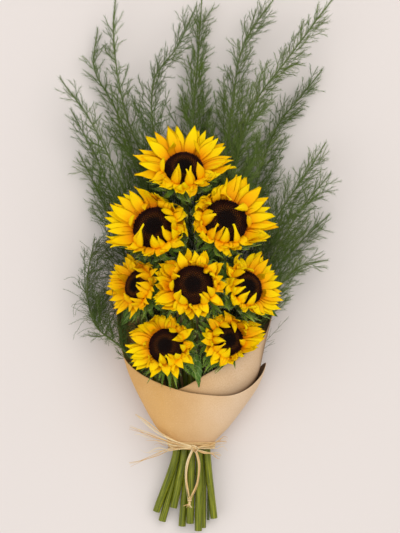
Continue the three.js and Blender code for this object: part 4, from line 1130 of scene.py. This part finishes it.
def make_wrap(material):
    first, last = WRAP_EDGE[0][0], WRAP_EDGE[-1][0]
    faces = wrap_faces(first, last)
    rings = np.concatenate([faces[0], faces[1][:, ::-1]], axis=1)
    size = rings.shape[1]
    skin = Skin()
    # Painted shade, carried to the paper's material as the tint value.
    painted_shade = wrap_painted_shade(rings, first, last)
    share = np.linspace(0, 1, WRAP_ROWS + 1)
    across = np.concatenate([share, share[::-1]])
    skin.rings(rings, np.linspace(0, 1, WRAP_COLUMNS + 1)[:, None], across[None], painted_shade.reshape(-1), 0,
               caps=False)
    for column, turn in ((0, 1), (WRAP_COLUMNS, -1)):
        base = column * size
        j = np.arange(WRAP_ROWS)
        quads = np.stack([base + j, base + j + 1, base + size - 2 - j, base + size - 1 - j], axis=-1)
        skin.faces.extend(quads[:, ::-turn].tolist())
        skin.slots.extend([0] * len(quads))
    skin.make("paper_wrap", [material], "kraft_wrap")


# Raffia.

def ribbon(skin, line, width, thickness, tint, twist, closed=False):
    """A flat fibre: four-sided, with its width along the surface it lies on."""
    line = np.asarray(line, float)
    along, across, beside = carried_frames(line)
    share = np.linspace(0, 1, len(line))
    turn = (math.pi / 2 + twist * share)[:, None]
    flat = across * np.cos(turn) + beside * np.sin(turn)
    thin = np.cross(along, flat)
    wide = (width / 2 * np.ones(len(line)))[:, None]
    if not closed:
        wide = wide * (0.35 + 0.65 * smooth((1 - share) / 0.25))[:, None]
    corners = [line + flat * a * wide + thin * b * thickness / 2
               for a, b in ((-1, -0.4), (0, -1), (1, -0.4), (1, 0.4), (0, 1), (-1, 0.4))]
    skin.rings(np.stack(corners, axis=1), share[:, None], np.array([[0, 0.5, 1, 1, 0.5, 0]]), tint)


BAND_STRANDS = 13
LOOSE_FIBRES = 11
KNOT_TURNS = 11
FOOT_TURNS = 6
FOOT_ENDS = 7
KNOT = np.array([-1, TIE_Y - 2.5, 39.4])
LOOP_FOOT = np.array([-6.5, -182, 28])


def make_band(material):
    fine = np.random.default_rng(77)
    skin = Skin()
    reach = BAND_WIDTH / 2
    for i in range(BAND_STRANDS):
        y = TIE_Y + lerp(-reach + 0.8, reach - 0.8, (i + 0.5) / BAND_STRANDS) + fine.normal(0, 0.3)
        out = SEAT + fine.uniform(0.35, BAND_THICKNESS)
        wave, lean, start = fine.uniform(0, 6.3), fine.uniform(-2.4, 2.4), fine.uniform(0, 360)
        line = []
        for k in range(91):
            degrees = start + 4 * k
            turn = math.radians(degrees)
            place = y + 0.5 * math.sin(2 * turn + wave) + lean * math.sin(turn + wave)
            place = min(max(place, TIE_Y - reach + 0.4), TIE_Y + reach - 0.4)
            x, y_there, z = section_point(degrees, place, out + 0.25 * math.sin(3 * turn + wave))
            line.append([x, y_there, max(z, 0.4)])
        ribbon(skin, line, fine.uniform(0.8, 1.9), 0.36, fine.uniform(0, 1), 0, True)
    skin.make("raffia_tie", [material], "raffia_band")


def strip_fibres(skin, fine):
    """The fibres of the loop's two legs and of the tails."""
    for strip in RAFFIA_STRIPS:
        path = Curve(strip["line"])
        loop = strip["width"] > 3.5
        count = 3 if loop else 4
        for i in range(count):
            share = np.linspace(0, 1, 34)
            line = path.at(share)
            _, across, beside = carried_frames(line)
            spread = (i - (count - 1) / 2) / count * strip["width"]
            open_out = 0.5 if loop else 0.35 + 0.9 * share ** 1.5
            wave, pace = fine.uniform(0, 6.3), fine.uniform(5, 11)
            swing = np.sin(pace * share + wave) - math.sin(wave)
            sway = (0.5 if loop else 1.5) * swing * share
            line = line + beside * (spread * open_out + sway)[:, None]
            lift = fine.uniform(-0.6, 0.6) + 0.9 * np.sin(pace * 0.8 * share) * share
            line = line + across * lift[:, None]
            width = strip["width"] / count * fine.uniform(0.9, 1.5)
            ribbon(skin, line, width, 0.34, fine.uniform(0, 1), fine.normal(0, 1.2))


def loose_fibres(skin, fine):
    """Thin curling fibres that leave the knot to the left and right."""
    for i in range(LOOSE_FIBRES):
        left = i < 7
        reach = fine.uniform(30, 74) if left else fine.uniform(22, 42)
        rise = fine.uniform(-22, 30) if left else fine.uniform(-8, 12)
        side = -1 if left else 1
        line = [[0, TIE_Y - 2, 39.8], [side * reach * 0.35, TIE_Y - 2 + rise * 0.2, 40],
                [side * reach * 0.7, TIE_Y + rise * 0.6, 37], [side * reach, TIE_Y + rise, 33]]
        share = np.linspace(0, 1, 40)
        path = Curve(line).at(share)
        curl = fine.uniform(1, 4) * share ** 2
        pace, wave = fine.uniform(9, 20), fine.uniform(0, 6.3)
        curled = [0 * share, curl * np.sin(pace * share + wave), curl * np.cos(pace * share)]
        path = path + np.stack(curled, -1)
        ribbon(skin, path, fine.uniform(0.5, 1.0), 0.25, fine.uniform(0, 1), fine.normal(0, 4))


def knot_turns(skin, fine):
    for _ in range(KNOT_TURNS):
        turn = np.linspace(0, 2 * math.pi * 0.96, 22)
        tip = fine.normal(0, 0.35)
        lean = fine.normal(0, 0.5)
        wide, tall = 5.2 * fine.uniform(0.6, 1), 3.1 * fine.uniform(0.8, 1.02)
        ring = np.stack([fine.normal(0, 1.5) + 0.9 * np.sin(turn + lean) * tip * 3,
                         wide * np.cos(turn) * 0.85, tall * np.sin(turn)], axis=-1)
        spin = fine.choice([0, 0.5, -0.5, 1.2])
        x = ring[:, 0] * math.cos(spin) - ring[:, 1] * math.sin(spin)
        y = ring[:, 0] * math.sin(spin) + ring[:, 1] * math.cos(spin)
        ribbon(skin, KNOT + np.stack([x, y, ring[:, 2]], axis=-1), 1.7, 0.4, fine.uniform(0, 1), 0.2)


def loop_foot(skin, fine):
    """Turns that gather the loop's foot, and the short ends under them."""
    for _ in range(FOOT_TURNS):
        turn = np.linspace(0, 2 * math.pi * 0.95, 16)
        ring = [2.3 * np.cos(turn), fine.normal(0, 0.9) + 0.5 * np.sin(turn), 1.6 * np.sin(turn)]
        ribbon(skin, LOOP_FOOT + np.stack(ring, -1), 1.3, 0.35, fine.uniform(0, 1), 0.3)
    for _ in range(FOOT_ENDS):
        line = [LOOP_FOOT, LOOP_FOOT + [fine.normal(0, 2), -4, -0.5],
                LOOP_FOOT + [fine.normal(0, 4), -7 - 4 * fine.random(), -1]]
        ribbon(skin, Curve(line).at(np.linspace(0, 1, 10)), 0.9, 0.3, fine.uniform(0, 1), fine.normal(0, 1))


def make_bow(material):
    fine = np.random.default_rng(78)
    skin = Skin()
    for part in (strip_fibres, loose_fibres, knot_turns, loop_foot):
        part(skin, fine)
    skin.make("raffia_knot", [material], "raffia_bow")


# Materials.

def linear(code):
    """Linear colour from a six-figure code."""
    parts = [int(code[i:i + 2], 16) / 255 for i in (0, 2, 4)]
    return [c / 12.92 if c <= 0.04045 else ((c + 0.055) / 1.055) ** 2.4 for c in parts] + [1.0]


class Finish:
    """A material under construction: nodes are added and linked by name."""

    def __init__(self, name, roughness, specular=0.3, sheen=0.0, subsurface=0.0):
        self.material = bpy.data.materials.new(name)
        self.material.use_nodes = True
        self.tree = self.material.node_tree
        self.shader = next(n for n in self.tree.nodes if n.type == "BSDF_PRINCIPLED")
        self.shader.inputs["Roughness"].default_value = roughness
        self.shader.inputs["Specular IOR Level"].default_value = specular
        self.shader.inputs["Sheen Weight"].default_value = sheen
        self.shader.inputs["Subsurface Weight"].default_value = subsurface

    def link(self, source, target):
        self.tree.links.new(source, target)

    def put(self, value, socket):
        if isinstance(value, bpy.types.NodeSocket):
            self.link(value, socket)
        else:
            socket.default_value = value

    def value(self, name):
        node = self.tree.nodes.new("ShaderNodeAttribute")
        node.attribute_name = name
        return node.outputs["Fac"]

    def values(self):
        return self.value("along"), self.value("across"), self.value("tint")

    def times(self, a, b):
        return self.math("MULTIPLY", a, b)

    def math(self, operation, a, b=0.0, c=None):
        node = self.tree.nodes.new("ShaderNodeMath")
        node.operation = operation
        self.put(a, node.inputs[0])
        self.put(b, node.inputs[1])
        if c is not None:
            self.put(c, node.inputs[2])
        return node.outputs[0]

    def joined(self, x, y, z):
        node = self.tree.nodes.new("ShaderNodeCombineXYZ")
        for value, socket in zip((x, y, z), node.inputs):
            self.put(value, socket)
        return node.outputs[0]

    def place(self):
        return self.tree.nodes.new("ShaderNodeTexCoord").outputs["Object"]

    def axis(self, name):
        node = self.tree.nodes.new("ShaderNodeSeparateXYZ")
        self.link(self.place(), node.inputs["Vector"])
        return node.outputs[name]

    def noise(self, place, scale, detail=3.0, roughness=0.55):
        node = self.tree.nodes.new("ShaderNodeTexNoise")
        self.link(place, node.inputs["Vector"])
        node.inputs["Scale"].default_value = scale
        node.inputs["Detail"].default_value = detail
        node.inputs["Roughness"].default_value = roughness
        return node.outputs["Fac"]

    def ramp(self, value, stops):
        node = self.tree.nodes.new("ShaderNodeValToRGB")
        self.link(value, node.inputs["Fac"])
        elements = node.color_ramp.elements
        while len(elements) < len(stops):
            elements.new(0.5)
        for element, (place, colour) in zip(elements, stops):
            element.position = place
            element.color = linear(colour) if isinstance(colour, str) else [colour] * 3 + [1]
        return node.outputs["Color"]

    def mix(self, share, a, b):
        node = self.tree.nodes.new("ShaderNodeMix")
        node.data_type = "RGBA"
        self.put(share, node.inputs["Factor"])
        colours = [s for s in node.inputs if s.type == "RGBA"]
        self.put(linear(a) if isinstance(a, str) else a, colours[0])
        self.put(linear(b) if isinstance(b, str) else b, colours[1])
        return next(s for s in node.outputs if s.type == "RGBA")

    def colour(self, value):
        self.put(value, self.shader.inputs["Base Color"])
        return self

    def bump(self, height, distance, strength):
        node = self.tree.nodes.new("ShaderNodeBump")
        self.link(height, node.inputs["Height"])
        node.inputs["Distance"].default_value = distance
        node.inputs["Strength"].default_value = strength
        self.link(node.outputs["Normal"], self.shader.inputs["Normal"])
        return self


def petal_finish():
    f = Finish("petal_finish", 0.65, 0.08, 0.0, 0.12)
    f.shader.inputs["Subsurface Radius"].default_value = (0.004, 0.0025, 0.0006)
    f.shader.inputs["Subsurface Scale"].default_value = 1.0
    along, across, tint = f.values()
    # Orange toward the root and yellow toward the tip; the deepest orange at the very root is painted shade
    # between the petals.
    base = f.ramp(along, [(0, "D05C00"), (0.1, "F48E00"), (0.26, "FFB600"), (0.5, "FFD400"), (1, "FFE600")])
    # Warmer orange petals, picked at random on every head; the shaded left_lower head's petals all lean
    # warmer, as painted shade.
    warm_tone_and_painted_shade = f.ramp(along, [(0, "DE7200"), (0.3, "F79C00"), (0.7, "FDBC00"), (1, "FFD000")])
    shade = f.mix(f.ramp(tint, [(0.5, 0.0), (0.97, 0.85)]), base, warm_tone_and_painted_shade)
    place = f.joined(f.math("MULTIPLY_ADD", across, 7.0, f.times(tint, 60.0)), f.times(along, 1.1), 0.0)
    streak = f.noise(place, 2.2, 3.0)
    lines = f.ramp(streak, [(0.42, 0.0), (0.66, 1.0)])
    veined = f.mix(f.times(lines, 0.14), shade, "F09400")
    under = f.math("LESS_THAN", across, -0.5)
    f.colour(f.mix(f.times(under, 0.3), veined, "FFCC00"))
    return f.bump(streak, 0.0007, 0.5).material


def disc_finish():
    f = Finish("disc_finish", 0.85, 0.1, 0.04)
    share, height, tint = f.values()
    body = f.ramp(share, [(0, "080302"), (0.38, "100502"), (0.5, "3A1A04"), (0.6, "4A2206"),
                          (0.7, "240A04"), (1, "1E0605")])
    tips = f.ramp(share, [(0, "120603"), (0.38, "1C0A04"), (0.52, "7C4A0C"), (0.6, "74400C"),
                          (0.72, "401006"), (1, "340A06")])
    tip = f.times(f.ramp(height, [(0.5, 0.0), (1, 1.0)]), f.ramp(tint, [(0.1, 0.2), (1, 1.0)]))
    grain = f.noise(f.place(), 900)
    f.colour(f.mix(f.times(grain, 0.3), f.mix(tip, body, tips), "0C0402"))
    return f.bump(grain, 0.0003, 0.6).material


def stem_finish():
    f = Finish("stem_finish", 0.42, 0.35)
    along, around, tint = f.values()
    streak = f.noise(f.joined(f.times(around, 14.0), f.times(along, 5.0), f.times(tint, 9.0)), 1.6, 4.0)
    colour = f.ramp(streak, [(0.28, "3A4406"), (0.45, "5C650A"), (0.6, "7E8410"), (0.78, "A8A82C")])
    spots = f.noise(f.place(), 260)
    f.colour(f.mix(f.ramp(spots, [(0.58, 0.0), (0.8, 0.25)]), colour, "B8B848"))
    return f.bump(streak, 0.0006, 0.6).material


def bract_finish():
    f = Finish("bract_finish", 0.55, 0.25, 0.1, 0.05)
    f.shader.inputs["Subsurface Radius"].default_value = (0.001, 0.002, 0.0004)
    along, across, tint = f.values()
    base = f.ramp(f.math("ADD", f.times(along, 0.6), f.times(tint, 0.4)),
                  [(0, "3E5A10"), (0.35, "587C18"), (0.7, "7C9C28"), (1, "A6BC48")])
    mottled = f.noise(f.place(), 320)
    shade = f.mix(f.ramp(mottled, [(0.4, 0.0), (0.72, 0.5)]), base, "3A5216")
    lines = f.noise(f.joined(f.times(across, 6.0), along, tint), 3.0)
    f.colour(f.mix(f.ramp(lines, [(0.5, 0.0), (0.75, 0.35)]), shade, "A8B85A"))
    return f.bump(lines, 0.0004, 0.5).material


def leaf_finish():
    f = Finish("leaf_finish", 0.5, 0.3)
    along, across = f.value("along"), f.value("across")
    body = f.ramp(f.noise(f.place(), 150), [(0.3, "35551A"), (0.52, "4F7624"), (0.75, "6E9330")])
    side = f.math("ABSOLUTE", across)
    phase = f.math("MULTIPLY_ADD", side, -1.6, f.times(along, 7.0))
    wave = f.math("COSINE", f.times(phase, 6.2832))
    vein = f.ramp(wave, [(0.9, 0.0), (0.99, 0.7)])
    middle = f.ramp(side, [(0.03, 0.85), (0.09, 0.0)])
    net = f.ramp(f.noise(f.place(), 700, 2.0), [(0.58, 0.0), (0.72, 0.25)])
    marks = f.math("MAXIMUM", f.math("MAXIMUM", vein, middle), net)
    f.colour(f.mix(marks, body, "A3B56A"))
    return f.bump(marks, 0.0003, -0.5).material


def cut_finish():
    f = Finish("cut_finish", 0.6)
    share = f.value("along")
    grain = f.noise(f.place(), 1200)
    pith = f.ramp(share, [(0, "93A04A"), (0.25, "C6CC8E"), (0.5, "E3E4C4"), (1, "EEEDDA")])
    f.colour(f.mix(f.times(grain, 0.4), pith, "C5C58C"))
    return f.bump(grain, 0.0003, 0.5).material


def hair_finish():
    f = Finish("hair_finish", 0.5)
    f.colour(f.ramp(f.noise(f.place(), 90), [(0.3, "A9B878"), (0.7, "DCE2BE")]))
    return f.material


def twig_finish():
    f = Finish("fern_twig_finish", 0.55, 0.25)
    tint = f.value("tint")
    base = f.ramp(tint, [(0, "55672F"), (0.5, "66763C"), (1, "7E8A4E")])
    grain = f.noise(f.place(), 420)
    f.colour(f.mix(f.ramp(grain, [(0.35, 0.0), (0.8, 0.6)]), base, "4B4A2A"))
    return f.bump(grain, 0.0003, 0.4).material


def needle_finish():
    f = Finish("fern_needle_finish", 0.55, 0.25)
    tint, tip, thinning_and_painted_shade = f.value("tint"), f.value("across"), f.value("along")
    base = f.ramp(tint, [(0, "345A12"), (0.3, "4C6E1C"), (0.6, "688630"), (1, "8C9E4C")])
    cloud = f.noise(f.place(), 26, 2.0)
    shade = f.mix(f.ramp(cloud, [(0.35, 0.0), (0.7, 0.6)]), base, "4C5E24")
    lit = f.mix(f.times(tip, 0.3), shade, "9CA45A")
    # Painted shade: needles under the heads are darkened toward the ellipse's middle.
    f.colour(f.mix(f.times(thinning_and_painted_shade, 0.8), lit, "1A2A0A"))
    return f.material


def paper_finish():
    f = Finish("kraft_finish", 0.72, 0.2)
    place = f.place()
    mottle = f.noise(place, 16, 3.0)
    # Painted light and shade: the paper is deeper brown on the left, where it is in shade, and paler on the
    # right, where the key light falls.
    left = f.ramp(mottle, [(0.3, "D2A15F"), (0.5, "DAAB6A"), (0.72, "DFB275")])
    right = f.ramp(mottle, [(0.3, "D9B995"), (0.5, "E0C3A1"), (0.72, "E6CBAD")])
    painted_light_toward_right = f.ramp(f.math("MULTIPLY_ADD", f.axis("X"), 9.0, 0.35), [(0.0, 0.0), (0.8, 1.0)])
    base = f.mix(painted_light_toward_right, left, right)
    along_fibres = f.joined(f.times(f.value("along"), 460.0), f.times(f.value("across"), 60.0), 0.0)
    fibre = f.noise(along_fibres, 1.0, 5.0, 0.7)
    flecked = f.mix(f.ramp(fibre, [(0.42, 0.0), (0.75, 0.5)]), base, "B98A52")
    specks = f.noise(place, 700, 2.0)
    speckled = f.mix(f.ramp(specks, [(0.6, 0.0), (0.78, 0.5)]), flecked, "E9CFA4")
    # The tint value is painted shade: dark brown past the outer turn's rim and inside the outer end.
    f.colour(f.mix(f.times(f.value("tint"), 0.85), speckled, "5E3C18"))
    height = f.math("ADD", f.times(fibre, 0.6), f.times(specks, 0.4))
    return f.bump(height, 0.0004, 0.35).material


def raffia_finish():
    f = Finish("raffia_finish", 0.5, 0.3, 0.1)
    along, across, tint = f.values()
    streak = f.noise(f.joined(f.times(across, 8.0), f.times(along, 14.0), f.times(tint, 40.0)), 1.2, 4.0)
    base = f.ramp(tint, [(0, "D0A468"), (0.4, "E0BC80"), (0.8, "EFD6A2"), (1, "F3E2B8")])
    f.colour(f.mix(f.ramp(streak, [(0.45, 0.0), (0.8, 0.6)]), base, "B98B50"))
    return f.bump(streak, 0.0004, 0.6).material


def floor_finish():
    f = Finish("floor_finish", 0.8, 0.2)
    f.colour(f.ramp(f.noise(f.place(), 1.5, 2.0), [(0.3, "DCD5D2"), (0.7, "DFD8D5")]))
    return f.material


# Everything in place.

heads = [head_frame(head) for head in HEADS]
disc_material = disc_finish()
green_materials = [stem_finish(), bract_finish(), leaf_finish(), cut_finish(), hair_finish()]
petal_materials = [petal_finish(), disc_material]
for index, head in enumerate(heads):
    seed = 101 + 17 * index
    make_petals(head, seed, petal_materials)
    make_disc(head, seed + 3, disc_material)
    make_stem(head, seed + 7, green_materials)
fern_materials = [twig_finish(), needle_finish()]
for index, shape in enumerate(FRONDS):
    make_frond(shape, index, heads, fern_materials)
make_wrap(paper_finish())
raffia_material = raffia_finish()
make_band(raffia_material)
make_bow(raffia_material)

# Floor, light and camera.
LENS = 180.0
SENSOR = 36.0
FIELD = 0.640
FIELD_HEIGHT = 0.045
CENTRE = (0.006, 0.100)
FLOOR_REACH = 6
FLOOR_DROP = -0.0004
AIM = (0, 0.1, 0.03)

floor_mesh = bpy.data.meshes.new("floor")
floor_corners = [(x * FLOOR_REACH, y * FLOOR_REACH, FLOOR_DROP)
                 for x, y in ((-1, -1), (1, -1), (1, 1), (-1, 1))]
floor_mesh.from_pydata(floor_corners, [], [(0, 1, 2, 3)])
floor_mesh.materials.append(floor_finish())
floor = placed("floor", floor_mesh)


def area_light(name, place, size, power, colour):
    """A round light that faces the bouquet's middle."""
    data = bpy.data.lights.new(name, "AREA")
    data.shape = "DISK"
    data.size = size
    data.energy = power
    data.color = colour
    lamp = placed(name, data)
    lamp.location = place
    lamp.rotation_euler = (Vector(AIM) - Vector(place)).to_track_quat("-Z", "Y").to_euler()


area_light("key", (0.8, 1.1, 3.0), 3.6, 48, (1.0, 0.975, 0.94))
area_light("fill", (-2.0, -0.8, 2.2), 3.0, 18, (0.96, 0.98, 1.0))
bpy.context.scene.view_settings.view_transform = "Standard"
world = bpy.data.worlds.new("studio")
world.use_nodes = True
background = next(n for n in world.node_tree.nodes if n.type == "BACKGROUND")
background.inputs["Color"].default_value = (0.93, 0.91, 0.89, 1)
background.inputs["Strength"].default_value = 0.79
bpy.context.scene.world = world

camera_data = bpy.data.cameras.new("camera")
camera_data.lens = LENS
camera_data.sensor_width = SENSOR
camera_data.clip_end = 50
camera = placed("camera", camera_data)
camera.location = (*CENTRE, FIELD_HEIGHT + FIELD * LENS / SENSOR)
bpy.context.scene.camera = camera
